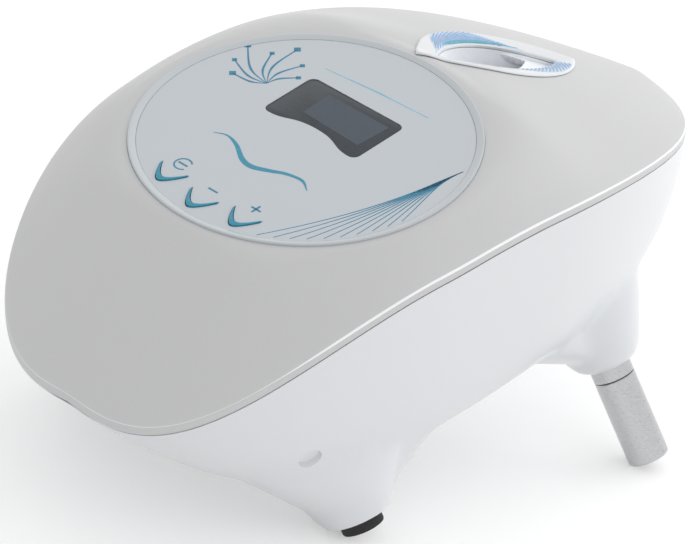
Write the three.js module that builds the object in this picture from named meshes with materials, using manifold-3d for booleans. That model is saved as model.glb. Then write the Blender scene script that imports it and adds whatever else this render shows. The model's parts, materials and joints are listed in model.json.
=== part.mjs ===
// Table-top control unit for a microneedle handpiece, built piece by piece.
// The model is drawn in the frame of its panel: x to the operator's right, y up the panel,
// z out of the panel, with the centre of the panel's face at zero. The whole frame is then
// leaned forward by its legs and stood on the floor. All lengths are in millimetres.
import * as THREE from 'three';
import { mergeVertices } from 'three/addons/utils/BufferGeometryUtils.js';
import Module from 'manifold-3d';

const wasm = await Module();
wasm.setup();

// Clearance between pieces at rest, play round what slides or passes, and a cutter's overrun
const gap = 0.3;
const slip = 0.25;
const overrun = 4;

// Plan outline of the body: two half superellipses that meet at its widest line
const plan = {
  halfWidth: 82.8,
  widestY: 44,
  frontLength: 164.1,
  backLength: 143.5,
  frontPower: 2.64,
  backPower: 1.92,
  steps: 48,
};

// Crown of the top cover: how high its edge stands over the shell's floor at nose and tail,
// how far it drops at the sides, where its ridge starts to fall, and how wide it is flat
const crown = {
  sideDrop: 11.2,
  noseRise: 44.6,
  tailRise: 24.4,
  edgeFlat: 15.5,
  ridgeFront: 62,
  ridgeBack: 62,
  ridgeFrontPower: 1.55,
  ridgeBackPower: 1.22,
  flatReach: 95,
  flatPower: 2.6,
  flatFade: 1.5,
  bendPower: 1.4,
  tipPower: 2,
  flatShare: 0.8,
  ringShares: [0.09, 0.2, 0.31, 0.43, 0.56, 0.69, 0.81, 0.91, 0.97],
};

const cover = { wall: 3.2, band: 3.6, bandWidth: 3.4, edgeRound: 1.1 };

// Lower shell: depth of its floor below the panel plane, and how its wall tucks in
const shell = {
  depth: 91,
  wall: 2.8,
  seam: 0.5,
  draft: 7,
  sideTuck: 6,
  noseTuck: 60,
  tailTuck: 14.8,
  sidePower: 5,
  nosePower: 1.12,
  tailPower: 1.4,
  levelShares: [0.16, 0.4, 0.62, 0.78, 0.89, 0.96, 1],
};

// Legs: four bosses splayed sideways, short pads in front and longer tubes behind
const leg = {
  splayDeg: 33,
  inset: 14.7,
  insetDepth: 115,
  frontY: -42.3,
  rearY: 91.2,
  frontDepth: 113,
  rearDepth: 118,
  radius: 8,
  padStand: 3.2,
  tubeStand: 40.7,
  collarHeight: 5.6,
  rimRound: 1.2,
  footFlat: 1.1,
};

const boss = {
  faceRadius: 9.2,
  shoulderRadius: 12.2,
  shoulderHeight: 1.6,
  bellyRadius: 15.4,
  bellyHeight: 6,
  neckRadius: 16.4,
  neckHeight: 9.5,
  bendHeight: 20,
  flareInset: 40.8,
  flareDepth: 80,
  flareRadius: 28,
  flareLength: 42,
  flarePower: 1.25,
  flareShares: [0.3, 0.6, 0.82, 1],
  rootDepth: 64,
  rootRadius: 14,
  wall: 2.8,
  floor: 5,
  sides: 20,
};

// Web from each boss toward the other leg on its side, up into the hull
const web = { startHeight: 9.5, startRadius: 9.6, endRadius: 13, reach: 52, endInset: 27, endSink: 1 };

const stud = { radius: 4, above: 11, below: 22, insertRadius: 6, insertHeight: 8, sides: 18 };
const plug = { radius: 5, height: 3, sink: 0.6 };
const pad = { seat: 2, screwRadius: 1.7, headRadius: 3.2, headHeight: 2.2, screwLength: 11 };

// Panel: a clear raised rim round a printed overlay, with a display window and three keys
const panel = {
  rimOuter: 63.6,
  rimInner: 60.6,
  rimTop: 0.9,
  rimCrest: 0.4,
  rimStep: 0.2,
  face: 0.1,
  recess: 1.6,
  sides: 60,
};
const land = { top: 65.6, foot: 70.6, drop: 6 };

const display = {
  left: -23.5,
  right: 21.5,
  bottom: 2,
  top: 28.5,
  corner: 3,
  wave: 4.2,
  sink: 0.2,
  openingMargin: 2,
  arcSteps: 4,
};

const key = {
  offset: -1.8,
  spacing: 18.5,
  ringRadius: 56.8,
  span: 12.6,
  rise: 7.2,
  stroke: 2.3,
  tipStroke: 0.8,
  bend: 2.4,
  proud: 0.6,
  seat: 1,
  stemRadius: 1,
};

const tact = { width: 6, height: 4.4, bore: 1.3, boreDepth: 3, stemDepth: 2 };

const panelBoard = {
  halfWidth: 30,
  front: -64,
  back: 34,
  thickness: 1.6,
  level: 9.2,
  postRadius: 3.2,
  postX: 25.5,
  postFront: -36,
  postBack: 30,
};

// Cradle: a lens-shaped bezel on the tail of the cover, with a deep cup below it
const cradle = {
  centreY: 105,
  halfLength: 37,
  halfWidth: 20.5,
  openLength: 29,
  openWidth: 11.5,
  holeMargin: 4,
  proud: 0.7,
  thickness: 1.6,
  wall: 2,
  depth: 66,
  footLength: 21,
  footWidth: 9.5,
  floor: 2.4,
  padHeight: 1.5,
  flange: 3,
  ledgeSink: 1.2,
  ledgeThickness: 2.6,
  ledgeRun: 12,
  ledgeAcross: 4.5,
  turnDeg: -9,
  lensPower: 1.35,
  steps: 40,
};

// Screw posts that tie the cover to the shell, mirrored left and right, and one in front
const post = { radius: 4.6, bore: 1.6, frontInset: 34.1, frontSplit: 54 };
const postPairs = [
  { place: 'side', inset: 18.8, back: 185.5, split: 46 },
  { place: 'rear', inset: 50.8, back: 47.5, split: 60 },
];

const screw = {
  radius: 1.35,
  head: 2.8,
  headHeight: 2,
  counterbore: 3.3,
  grip: 3,
  thread: 8,
  boardThread: 4.5,
  sides: 14,
};

const board = {
  halfWidth: 42,
  front: -16,
  back: 66,
  thickness: 1.6,
  stand: 7,
  postInset: 5,
  postRadius: 3.2,
};

const sink = { width: 34, depth: 18, height: 20, base: 3, fin: 1.6, fins: 7, x: -16, y: 12 };
const capacitor = { radius: 6, height: 20, x: 18, y: 10, pitch: 15 };
const chip = { width: 12, depth: 8, height: 2.4, x: 12, y: 38 };
const beeper = { radius: 6.2, height: 7.5, hole: 1.4, holeDepth: 3, x: -28, y: 44 };
const plugBlock = { width: 20, depth: 6, height: 6, x: -4 };
const ribbon = { width: 14, thickness: 0.6, steps: 14, reach: 22 };

// Connector bay, let into the tail of the shell, with its plate, inlet and power switch
const bay = {
  halfWidth: 25,
  floorRise: 7,
  height: 12.6,
  setback: 17,
  frame: 3,
  plate: 1.8,
  screwX: 21.8,
  screwLength: 5,
};

const inlet = {
  x: -10,
  radius: 4.3,
  flange: 5.4,
  flangeHeight: 1.2,
  socket: 2.9,
  socketDepth: 9.5,
  pin: 1,
  pinLength: 7,
  length: 14,
};

const power = {
  x: 8,
  halfWidth: 8.2,
  halfHeight: 5.2,
  wall: 1.1,
  flange: 0.9,
  flangeHeight: 1.1,
  depth: 11,
  rockerRadius: 3.75,
  dip: 1.6,
  skirt: 1.3,
  endTurnDeg: 34,
  pinRadius: 0.8,
  pinLength: 0.7,
  pivotDepth: 1,
  restDeg: 9,
};

// Handpiece socket, low on the wall by the front right foot
const jack = {
  turnDeg: -38,
  levelShare: 0.7,
  recessRadius: 5,
  recessDepth: 1.4,
  bodyRadius: 3.6,
  socket: 2.3,
  socketDepth: 13,
  length: 16,
  nutRadius: 5.8,
  nutHeight: 2.2,
  nutSides: 6,
  padRadius: 8,
  padDepth: 5,
};

const lead = { radius: 1.3, sides: 8, steps: 16, bow: 12 };

function finish(color, roughness, metalness = 0) {
  return new THREE.MeshStandardMaterial({ color, roughness, metalness });
}

const pearl = finish(0xc4c7ca, 0.35);
const white = finish(0xe9ebee, 0.3);
const overlayGrey = finish(0xcdd4d9, 0.25);
const clear = finish(0xdfe5e8, 0.15);
const slate = finish(0x3c464f, 0.2);
const blue = finish(0x2f93bb, 0.4);
const brushed = finish(0xb4b7ba, 0.35, 1);
const rubber = finish(0x26282a, 0.8);
const black = finish(0x1d1f22, 0.45);
const laminate = finish(0x1f6b46, 0.5);
const brass = finish(0xb59a5b, 0.35, 1);
const zinc = finish(0x9ea2a6, 0.4, 1);
const anodised = finish(0x3a3d40, 0.5, 0.8);
const cream = finish(0xe2e0d6, 0.5);

const frontTip = plan.frontLength - plan.widestY;
const backTip = plan.backLength + plan.widestY;
const noseDrop = shell.depth - crown.noseRise;
const tailDrop = shell.depth - crown.tailRise;

function turns(count) {
  return Array.from({ length: count }, (unused, i) => (2 * Math.PI * i) / count);
}

// Plan outline

function half(y) {
  return y < plan.widestY
    ? { length: plan.frontLength, n: plan.frontPower }
    : { length: plan.backLength, n: plan.backPower };
}

function widthShare(y) {
  const { length, n } = half(y);
  const along = Math.min(1, Math.abs(y - plan.widestY) / length);
  return (1 - along ** n) ** (1 / n);
}

function outlinePoint(turn, inset, share = 1) {
  const run = Math.sin(turn);
  const across = Math.cos(turn);
  const { length, n } = half(plan.widestY + run);
  return {
    x: share * (plan.halfWidth - inset) * Math.sign(across) * Math.abs(across) ** (2 / n),
    y: plan.widestY + share * (length - inset) * Math.sign(run) * Math.abs(run) ** (2 / n),
  };
}

// Heights of the cover: its edge, its ridge line, and its top surface between them

function edgeHeight(y) {
  const nose = Math.max(0, -y - crown.edgeFlat) / (frontTip - crown.edgeFlat);
  const tail = Math.max(0, y) / backTip;
  return -(crown.sideDrop * widthShare(y) + noseDrop * nose ** 2 + tailDrop * tail ** 2);
}

function ridgeHeight(y) {
  const front = THREE.MathUtils.clamp((-y - crown.ridgeFront) / (frontTip - crown.ridgeFront), 0, 1);
  const back = THREE.MathUtils.clamp((y - crown.ridgeBack) / (backTip - crown.ridgeBack), 0, 1);
  return -(noseDrop * front ** crown.ridgeFrontPower + tailDrop * back ** crown.ridgeBackPower);
}

function topHeight(x, y) {
  const reach = plan.halfWidth * widthShare(y);
  const across = reach > 0 ? Math.min(1, Math.abs(x) / reach) : 1;
  const run = Math.min(1, Math.abs(y) / crown.flatReach);
  const flat = crown.flatShare * (1 - run ** crown.flatPower) ** crown.flatFade;
  const bend = THREE.MathUtils.lerp(crown.bendPower, crown.tipPower, THREE.MathUtils.smoothstep(run, 0, 1));
  const blend = Math.max(0, (across - flat) / (1 - flat)) ** bend;
  return THREE.MathUtils.lerp(ridgeHeight(y), edgeHeight(y), blend);
}

function coverRing(share, inset, below) {
  return turns(plan.steps).map((turn) => {
    const { x, y } = outlinePoint(turn, inset, share);
    return new THREE.Vector3(x, y, topHeight(x, y) - below);
  });
}

// Point of the lower shell's wall, a share of the way from its rim to its floor
function wallPoint(turn, share, inset = 0, floorLift = 0) {
  const tip = Math.sin(turn) ** 2;
  const back = Math.sin(turn) > 0;
  const tuck = THREE.MathUtils.lerp(shell.sideTuck, back ? shell.tailTuck : shell.noseTuck, tip);
  const bend = THREE.MathUtils.lerp(shell.sidePower, back ? shell.tailPower : shell.nosePower, tip);
  const curl = 1 - (1 - share ** bend) ** (1 / bend);
  const inward = tuck * curl + shell.draft * share * (1 - tip) + inset;
  const rim = edgeHeight(outlinePoint(turn, 0).y) - cover.band - shell.seam;
  const { x, y } = outlinePoint(turn, inward);
  return new THREE.Vector3(x, y, THREE.MathUtils.lerp(rim, floorLift - shell.depth, share));
}

// Skins: a closed surface through rings of points, from a point inside the first ring to one
// inside the last, or round a closed loop of rings

function indexed(points, index) {
  const geometry = new THREE.BufferGeometry();
  geometry.setAttribute('position', new THREE.Float32BufferAttribute(points.flatMap((p) => p.toArray()), 3));
  geometry.setIndex(index);
  return geometry;
}

function bridge(index, from, to, count) {
  for (let i = 0; i < count; i += 1) {
    const next = (i + 1) % count;
    index.push(from + i, to + i, to + next);
    index.push(from + i, to + next, from + next);
  }
}

function skin(rings, first, last) {
  const count = rings[0].length;
  const end = (rings.length - 1) * count;
  const points = [...rings.flat(), first, last];
  const index = [];
  for (let r = 0; r + 1 < rings.length; r += 1) {
    bridge(index, r * count, (r + 1) * count, count);
  }
  for (let i = 0; i < count; i += 1) {
    const next = (i + 1) % count;
    index.push(points.length - 2, i, next);
    index.push(points.length - 1, end + next, end + i);
  }
  return solid(indexed(points, index));
}

function loop(rings) {
  const count = rings[0].length;
  const index = [];
  rings.forEach((unused, r) => {
    bridge(index, r * count, ((r + 1) % rings.length) * count, count);
  });
  return solid(indexed(rings.flat(), index));
}

// Solids: closed meshes that can be joined and cut

function solidOf(geometry) {
  return new wasm.Manifold(new wasm.Mesh({
    numProp: 3,
    vertProperties: new Float32Array(geometry.attributes.position.array),
    triVerts: new Uint32Array(geometry.index.array),
  }));
}

function solid(geometry) {
  const bare = geometry.clone();
  bare.deleteAttribute('normal');
  bare.deleteAttribute('uv');
  return solidOf(mergeVertices(bare));
}

function meshOf(piece) {
  const { vertProperties, triVerts } = piece.getMesh();
  const geometry = new THREE.BufferGeometry();
  geometry.setAttribute('position', new THREE.BufferAttribute(vertProperties, 3));
  geometry.setIndex(new THREE.BufferAttribute(triVerts, 1));
  return geometry;
}

function placed(piece, matrix) {
  return solidOf(meshOf(piece).applyMatrix4(matrix));
}

function moved(piece, x, y, z) {
  return placed(piece, new THREE.Matrix4().makeTranslation(x, y, z));
}

function joined(...solids) {
  return solids.reduce((whole, piece) => whole.add(piece));
}

function cut(whole, ...tools) {
  return tools.reduce((rest, tool) => rest.subtract(tool), whole);
}

const upright = new THREE.Matrix4().makeRotationX(Math.PI / 2);

// Piece turned about z, from pairs of radius and height
function turned(pairs, count) {
  const points = pairs.map(([radius, height]) => new THREE.Vector2(radius, height));
  return solid(new THREE.LatheGeometry(points, count).applyMatrix4(upright));
}

function rod(radius, low, high, count = screw.sides) {
  return turned([[0, low], [radius, low], [radius, high], [0, high]], count);
}

function tube(outer, inner, low, high, count = screw.sides) {
  return turned([[inner, low], [outer, low], [outer, high], [inner, high], [inner, low]], count);
}

function block(left, right, front, back, low, high) {
  const geometry = new THREE.BoxGeometry(right - left, back - front, high - low);
  geometry.translate((left + right) / 2, (front + back) / 2, (low + high) / 2);
  return solid(geometry);
}

function blockAt({ width, depth, height }, x, y, low) {
  return block(x - width / 2, x + width / 2, y - depth / 2, y + depth / 2, low, low + height);
}

function prism(shape, low, high, curveSegments) {
  const options = { depth: high - low, bevelEnabled: false, curveSegments };
  const geometry = new THREE.ExtrudeGeometry(shape, options);
  geometry.translate(0, 0, low);
  return solid(geometry);
}

// Nested frames: the unit stands on the floor, and the panel's frame leans inside it

const device = new THREE.Group();
const leaned = new THREE.Group();
device.add(leaned);

function add(name, piece, material) {
  const mesh = new THREE.Mesh(meshOf(piece), material);
  mesh.name = name;
  leaned.add(mesh);
}

const hands = [
  { hand: 'left', sign: -1 },
  { hand: 'right', sign: 1 },
];

// Legs: each has its own frame on its boss's face, with z running up into the body

const splay = THREE.MathUtils.degToRad(leg.splayDeg);

function legFrame(sign, y, depth) {
  const x = sign * (plan.halfWidth - leg.inset + (depth - leg.insetDepth) * Math.tan(splay));
  return new THREE.Matrix4().makeRotationY(-sign * splay).setPosition(x, y, -depth);
}

function along(frame, z) {
  return new THREE.Vector3(0, 0, z).applyMatrix4(frame);
}

const legs = hands.flatMap(({ hand, sign }) => [
  { hand, sign, rear: false, y: leg.frontY, frame: legFrame(sign, leg.frontY, leg.frontDepth) },
  { hand, sign, rear: true, y: leg.rearY, frame: legFrame(sign, leg.rearY, leg.rearDepth) },
]);

const frontEnd = along(legFrame(1, leg.frontY, leg.frontDepth), -leg.padStand);
const rearEnd = along(legFrame(1, leg.rearY, leg.rearDepth), -leg.tubeStand);
const lean = Math.atan2(frontEnd.z - rearEnd.z, rearEnd.y - frontEnd.y);
const up = new THREE.Vector3(0, Math.sin(lean), Math.cos(lean));
const legDown = new THREE.Vector3(Math.sin(splay), 0, -Math.cos(splay));
const rimDrop = leg.radius * Math.sqrt(1 - legDown.dot(up) ** 2);
const floorLevel = frontEnd.dot(up) - rimDrop + leg.footFlat;

function belowFloor() {
  const reach = plan.frontLength + plan.backLength;
  const frame = new THREE.Matrix4().makeRotationX(-lean);
  frame.setPosition(up.clone().multiplyScalar(floorLevel));
  return placed(block(-reach, reach, -reach, reach, -reach, 0), frame);
}

// Levels shared by neighbours
const floorTop = shell.wall - shell.depth;
const boardLow = floorTop + board.stand;
const boardTop = boardLow + board.thickness;
const overlayLow = gap - panel.recess;
const panelBoardTop = -panelBoard.level;
const panelBoardLow = panelBoardTop - panelBoard.thickness;
const bayPlateY = backTip - bay.setback;
const bayLow = bay.floorRise - shell.depth;
const bayHigh = bayLow + bay.height;
const bayMiddle = (bayLow + bayHigh) / 2;

// Places shared by neighbours

const keys = ['left', 'middle', 'right'].map((place, i) => {
  const x = key.offset + (i - 1) * key.spacing;
  return { place, x, y: -Math.sqrt(key.ringRadius ** 2 - x ** 2) };
});

const casePosts = [
  ...hands.flatMap(({ hand, sign }) => postPairs.map(({ place, inset, back, split }) => (
    { name: `${place}_${hand}`, x: sign * (plan.halfWidth - inset), y: backTip - back, split }))),
  { name: 'front', x: 0, y: post.frontInset - frontTip, split: post.frontSplit },
];

const panelPosts = hands.flatMap(({ hand, sign }) => [panelBoard.postFront, panelBoard.postBack]
  .map((y, i) => ({ hand, x: sign * panelBoard.postX, y, pegged: (i === 0) === (sign > 0) })));

const boardEnds = [board.front + board.postInset, board.back - board.postInset];
const boardPosts = hands.flatMap(({ hand, sign }) => boardEnds.map((y, i) => {
  const x = sign * (board.halfWidth - board.postInset);
  return { hand, x, y, pegged: (i === 0) === (sign > 0) };
}));

// Screw with its head below and its shank running up
function screwUp(x, y, seat, top) {
  const low = seat - screw.headHeight;
  const head = [[0, low], [screw.head, low], [screw.head, seat]];
  const profile = [...head, [screw.radius, seat], [screw.radius, top], [0, top]];
  return moved(turned(profile, screw.sides), x, y, 0);
}

// Screw with its head above and its shank running down
function screwDown(x, y, seat, tip) {
  const high = seat + screw.headHeight;
  const head = [[screw.head, seat], [screw.head, high], [0, high]];
  const profile = [[0, tip], [screw.radius, tip], [screw.radius, seat], ...head];
  return moved(turned(profile, screw.sides), x, y, 0);
}

// Display window: a rounded rectangle whose lower edge rises in a wave
function windowShape(margin) {
  const { corner, wave } = display;
  const left = display.left + margin;
  const right = display.right - margin;
  const low = display.bottom + margin;
  const high = display.top - margin;
  const middle = (left + right) / 2;
  const quarter = (right - left) / 4;
  const shape = new THREE.Shape();
  shape.moveTo(left + corner, low);
  shape.bezierCurveTo(left + quarter, low, left + quarter, low + wave, middle, low + wave);
  shape.bezierCurveTo(right - quarter, low + wave, right - quarter, low, right - corner, low);
  shape.absarc(right - corner, low + corner, corner, -Math.PI / 2, 0, false);
  shape.absarc(right - corner, high - corner, corner, 0, Math.PI / 2, false);
  shape.absarc(left + corner, high - corner, corner, Math.PI / 2, Math.PI, false);
  shape.absarc(left + corner, low + corner, corner, Math.PI, 1.5 * Math.PI, false);
  return shape;
}

// Key mark: a tapered V with a soft elbow, grown evenly by a margin
function keyShape({ x, y }, margin) {
  const reach = key.span / 2 + margin;
  const slope = key.rise / (key.span / 2);
  const grow = margin * Math.hypot(1, slope);
  const tip = y + slope * reach;
  const low = y - key.stroke / 2 - grow;
  const high = y + key.stroke / 2 + grow;
  const thin = key.tipStroke / 2 + grow;
  const shape = new THREE.Shape();
  shape.moveTo(x - reach, tip - thin);
  shape.quadraticCurveTo(x - key.bend, low, x, low);
  shape.quadraticCurveTo(x + key.bend, low, x + reach, tip - thin);
  shape.lineTo(x + reach, tip + thin);
  shape.quadraticCurveTo(x + key.bend, high, x, high);
  shape.quadraticCurveTo(x - key.bend, high, x - reach, tip + thin);
  return shape;
}

// Cradle ring: a lens in plan, turned a little about its centre
function lensRing(halfLength, halfWidth, height) {
  const turn = THREE.MathUtils.degToRad(cradle.turnDeg);
  return turns(cradle.steps).map((t) => {
    const across = halfWidth * Math.sign(Math.cos(t)) * Math.abs(Math.cos(t)) ** cradle.lensPower;
    const run = halfLength * Math.sin(t);
    const x = across * Math.cos(turn) - run * Math.sin(turn);
    const y = cradle.centreY + across * Math.sin(turn) + run * Math.cos(turn);
    return new THREE.Vector3(x, y, height(x, y));
  });
}

function cradlePoint(z) {
  return new THREE.Vector3(0, cradle.centreY, z);
}

function lensPrism(halfLength, halfWidth, low, high) {
  const rings = [high, low].map((z) => lensRing(halfLength, halfWidth, () => z));
  return skin(rings, cradlePoint(high), cradlePoint(low));
}

// Top cover: crowned skin with a rolled band, a panel recess, openings and screw posts
function addCover() {
  const rings = [
    ...crown.ringShares.map((share) => coverRing(share, 0, 0)),
    coverRing(1, cover.edgeRound, 0),
    coverRing(1, 0, cover.edgeRound),
    coverRing(1, 0, cover.band),
    coverRing(1, cover.bandWidth, cover.band),
    coverRing(1, cover.bandWidth, cover.wall),
    ...crown.ringShares.slice(0, -1).reverse().map((share) => coverRing(share, 0, cover.wall)),
  ];
  const middle = new THREE.Vector3(0, plan.widestY, topHeight(0, plan.widestY));
  const crownSkin = skin(rings, middle, middle.clone().setZ(middle.z - cover.wall));

  const underCrown = skin([
    ...crown.ringShares.map((share) => coverRing(share, 0, cover.wall / 2)),
    ...crown.ringShares.slice(-1).map((share) => coverRing(share, 0, shell.depth)),
  ], middle.clone().setZ(middle.z - cover.wall / 2), middle.clone().setZ(-2 * shell.depth));
  const screwPosts = casePosts.map(({ x, y, split }) => {
    const hole = rod(post.bore, -split - overrun, screw.thread - split + gap);
    return moved(cut(rod(post.radius, -split, 0), hole), x, y, 0).intersect(underCrown);
  });
  const landing = turned([[0, -land.drop], [land.foot, -land.drop], [land.top, 0], [0, 0]], panel.sides)
    .intersect(skin([
      coverRing(crown.ringShares.at(-1), 0, cover.wall).map((p) => p.setZ(overrun)),
      ...[...crown.ringShares].reverse().map((share) => coverRing(share, 0, cover.wall / 2)),
    ], middle.clone().setZ(overrun), middle.clone().setZ(-cover.wall / 2)));
  const spacers = panelPosts.map(({ x, y, pegged }) => {
    const body = rod(panelBoard.postRadius, panelBoardTop + gap, -cover.wall / 2);
    const hole = rod(post.bore, panelBoardTop - overrun, panelBoardTop + screw.boardThread + gap);
    const peg = rod(post.bore - slip, panelBoardLow - gap, panelBoardTop + overrun);
    return moved(pegged ? joined(body, peg) : cut(body, hole), x, y, 0);
  });
  const recess = rod(panel.rimOuter + gap, -panel.recess, overrun, panel.sides);
  const opening = prism(windowShape(display.openingMargin), -cover.wall - overrun, overrun, display.arcSteps);
  const stemHoles = keys.map(({ x, y }) => (
    moved(rod(key.stemRadius + slip, -cover.wall - overrun, overrun), x, y, 0)));
  const cradleHole = lensPrism(
    cradle.halfLength - cradle.holeMargin,
    cradle.halfWidth - cradle.holeMargin,
    -shell.depth,
    overrun,
  );
  const whole = joined(crownSkin, landing, ...screwPosts, ...spacers);
  add('top_cover', cut(whole, recess, opening, ...stemHoles, cradleHole), pearl);
}

// Boss: round at its face, then flaring and turning into the hull's floor and wall
function circle(matrix, radius, height, length = radius) {
  return turns(boss.sides).map((turn) => (
    new THREE.Vector3(radius * Math.cos(turn), length * Math.sin(turn), height).applyMatrix4(matrix)));
}

function bossSolid({ sign, y, frame }, low, inset) {
  const start = along(frame, boss.neckHeight);
  const bend = along(frame, boss.bendHeight);
  const flareEnd = new THREE.Vector3(sign * (plan.halfWidth - boss.flareInset), y, -boss.flareDepth);
  const curve = new THREE.QuadraticBezierCurve3(start, bend, flareEnd);
  const flare = boss.flareShares.map((share) => {
    const matrix = new THREE.Matrix4().makeRotationY(-sign * splay * (1 - share));
    matrix.setPosition(curve.getPoint(share));
    const [radius, length] = [boss.flareRadius, boss.flareLength].map((reach) => (
      THREE.MathUtils.lerp(boss.neckRadius, reach, share ** boss.flarePower) - inset));
    return circle(matrix, radius, 0, length);
  });
  const root = flareEnd.clone().setZ(-boss.rootDepth);
  const rings = [
    ...low.map(([radius, height]) => circle(frame, radius, height)),
    circle(frame, boss.bellyRadius - inset, boss.bellyHeight),
    circle(frame, boss.neckRadius - inset, boss.neckHeight),
    ...flare,
    circle(new THREE.Matrix4().setPosition(root), boss.rootRadius, 0),
  ];
  return skin(rings.reverse(), root, along(frame, low[0][1]));
}

function webSolid({ sign, rear, y, frame }, inset) {
  const start = along(frame, web.startHeight);
  const end = new THREE.Vector3(
    sign * (plan.halfWidth - web.endInset),
    y + (rear ? -web.reach : web.reach),
    web.endRadius - web.endSink - shell.depth,
  );
  const run = end.clone().sub(start).normalize();
  const turn = new THREE.Quaternion().setFromUnitVectors(new THREE.Vector3(0, 0, 1), run);
  const ends = [[start, web.startRadius], [end, web.endRadius]];
  const rings = ends.map(([middle, radius]) => {
    const matrix = new THREE.Matrix4().makeRotationFromQuaternion(turn).setPosition(middle);
    return circle(matrix, radius - inset, 0);
  });
  return skin(rings.reverse(), end, start);
}

function bossOuter(place) {
  const body = bossSolid(place, [[boss.faceRadius, 0], [boss.shoulderRadius, boss.shoulderHeight]], 0);
  return joined(body, webSolid(place, 0));
}

function bossInner(place) {
  return joined(bossSolid(place, [[boss.faceRadius, boss.floor]], boss.wall), webSolid(place, boss.wall));
}

// Hull of the lower shell, closed by a lid that may be lifted clear of the rim
function hull(inset, floorLift, lidLift) {
  const rim = wallRing(0, inset, floorLift);
  const rings = [...shell.levelShares.map((share) => wallRing(share, inset, floorLift))];
  const lid = rim.map((p) => p.clone().setZ(p.z + lidLift));
  const top = new THREE.Vector3(0, plan.widestY, edgeHeight(plan.widestY) + lidLift);
  const bottom = new THREE.Vector3(0, plan.widestY / 2, floorLift - shell.depth);
  return skin(lidLift > 0 ? [lid, rim, ...rings] : [rim, ...rings], top, bottom);
}

function wallRing(share, inset, floorLift) {
  return turns(plan.steps).map((turn) => wallPoint(turn, share, inset, floorLift));
}

// Frame on the wall at the handpiece socket, with z out of the wall
function jackFrame() {
  const turn = THREE.MathUtils.degToRad(jack.turnDeg);
  const at = wallPoint(turn, jack.levelShare);
  const [lowShare, highShare] = [jack.levelShare - slip / shell.depth, jack.levelShare + slip / shell.depth];
  const turnStep = slip / plan.halfWidth;
  const across = wallPoint(turn + turnStep, jack.levelShare).sub(wallPoint(turn - turnStep, jack.levelShare));
  const downward = wallPoint(turn, highShare).sub(wallPoint(turn, lowShare));
  const out = downward.cross(across).normalize();
  const right = new THREE.Vector3(0, 0, 1).cross(out).normalize();
  return new THREE.Matrix4().makeBasis(right, out.clone().cross(right), out).setPosition(at);
}

const jackPlace = jackFrame();

// Frame on the bay's plate, with z out of the tail and y up
function bayFrame(x) {
  const basis = new THREE.Matrix4().makeBasis(
    new THREE.Vector3(-1, 0, 0),
    new THREE.Vector3(0, 0, 1),
    new THREE.Vector3(0, 1, 0),
  );
  return basis.setPosition(x, bayPlateY, bayMiddle);
}

// Lower shell: tucked-in wall, flared bosses, stands, posts and the connector bay
function addLowerShell() {
  const outside = hull(0, 0, 0);
  const outer = joined(outside, ...legs.map(bossOuter));
  const inner = joined(hull(shell.wall, shell.wall, overrun), ...legs.map(bossInner));

  const stands = boardPosts.map(({ x, y, pegged }) => {
    const body = rod(board.postRadius, floorTop - shell.wall / 2, boardLow - gap);
    const hole = rod(post.bore, boardLow - screw.boardThread - gap, boardLow + overrun);
    const peg = rod(post.bore - slip, boardLow - overrun, boardTop + gap);
    return moved(pegged ? joined(body, peg) : cut(body, hole), x, y, 0);
  });
  const columns = casePosts.map(({ x, y, split }) => (
    moved(rod(post.radius, -shell.depth, -split - gap), x, y, 0).intersect(outside)));
  const wells = casePosts.flatMap(({ x, y, split }) => [
    moved(rod(screw.counterbore, -shell.depth - overrun, -split - screw.grip), x, y, 0),
    moved(rod(screw.radius + slip, -shell.depth - overrun, overrun - split), x, y, 0),
  ]);
  const legBores = legs.flatMap(({ rear, frame }) => (rear
    ? [placed(rod(stud.insertRadius + slip, -overrun, boss.floor + overrun, stud.sides), frame)]
    : [
      placed(rod(leg.radius + slip, -overrun, pad.seat, boss.sides), frame),
      placed(rod(pad.screwRadius + slip, -overrun, boss.floor + overrun), frame),
    ]));

  const bayInner = bayPlateY - bay.plate - bay.frame;
  const reach = bay.halfWidth + bay.frame;
  const bayBlock = block(-reach, reach, bayInner, backTip, bayLow - bay.frame, bayHigh + bay.frame);
  const bayPocket = block(
    -bay.halfWidth,
    bay.halfWidth,
    bayPlateY - bay.plate,
    backTip + overrun,
    bayLow,
    bayHigh,
  );
  const bayHoles = [
    placed(rod(inlet.radius + slip, -bay.setback - overrun, 0), bayFrame(inlet.x)),
    placed(switchBody(slip, -bay.setback - overrun, 0), bayFrame(power.x)),
    ...plateScrewXs.map((x) => placed(rod(screw.radius, -bay.plate - bay.screwLength, 0), bayFrame(x))),
  ];
  const jackPad = placed(rod(jack.padRadius, -jack.padDepth, 0, boss.sides), jackPlace);
  const jackHoles = [
    placed(rod(jack.recessRadius, -jack.recessDepth, overrun, boss.sides), jackPlace),
    placed(rod(jack.bodyRadius + slip, -jack.padDepth - overrun, overrun), jackPlace),
  ];
  const walls = cut(outer, inner);
  const extras = [...stands, ...columns, bayBlock.intersect(outside), jackPad.intersect(outside)];
  const whole = joined(walls, ...extras);
  add('lower_shell', cut(whole, ...wells, ...legBores, bayPocket, ...bayHoles, ...jackHoles), white);
}

const plateScrewXs = [-bay.screwX, bay.screwX];

function switchBody(margin, low, high) {
  const x = power.halfWidth + margin;
  const y = power.halfHeight + margin;
  return block(-x, x, -y, y, low, high);
}

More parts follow.
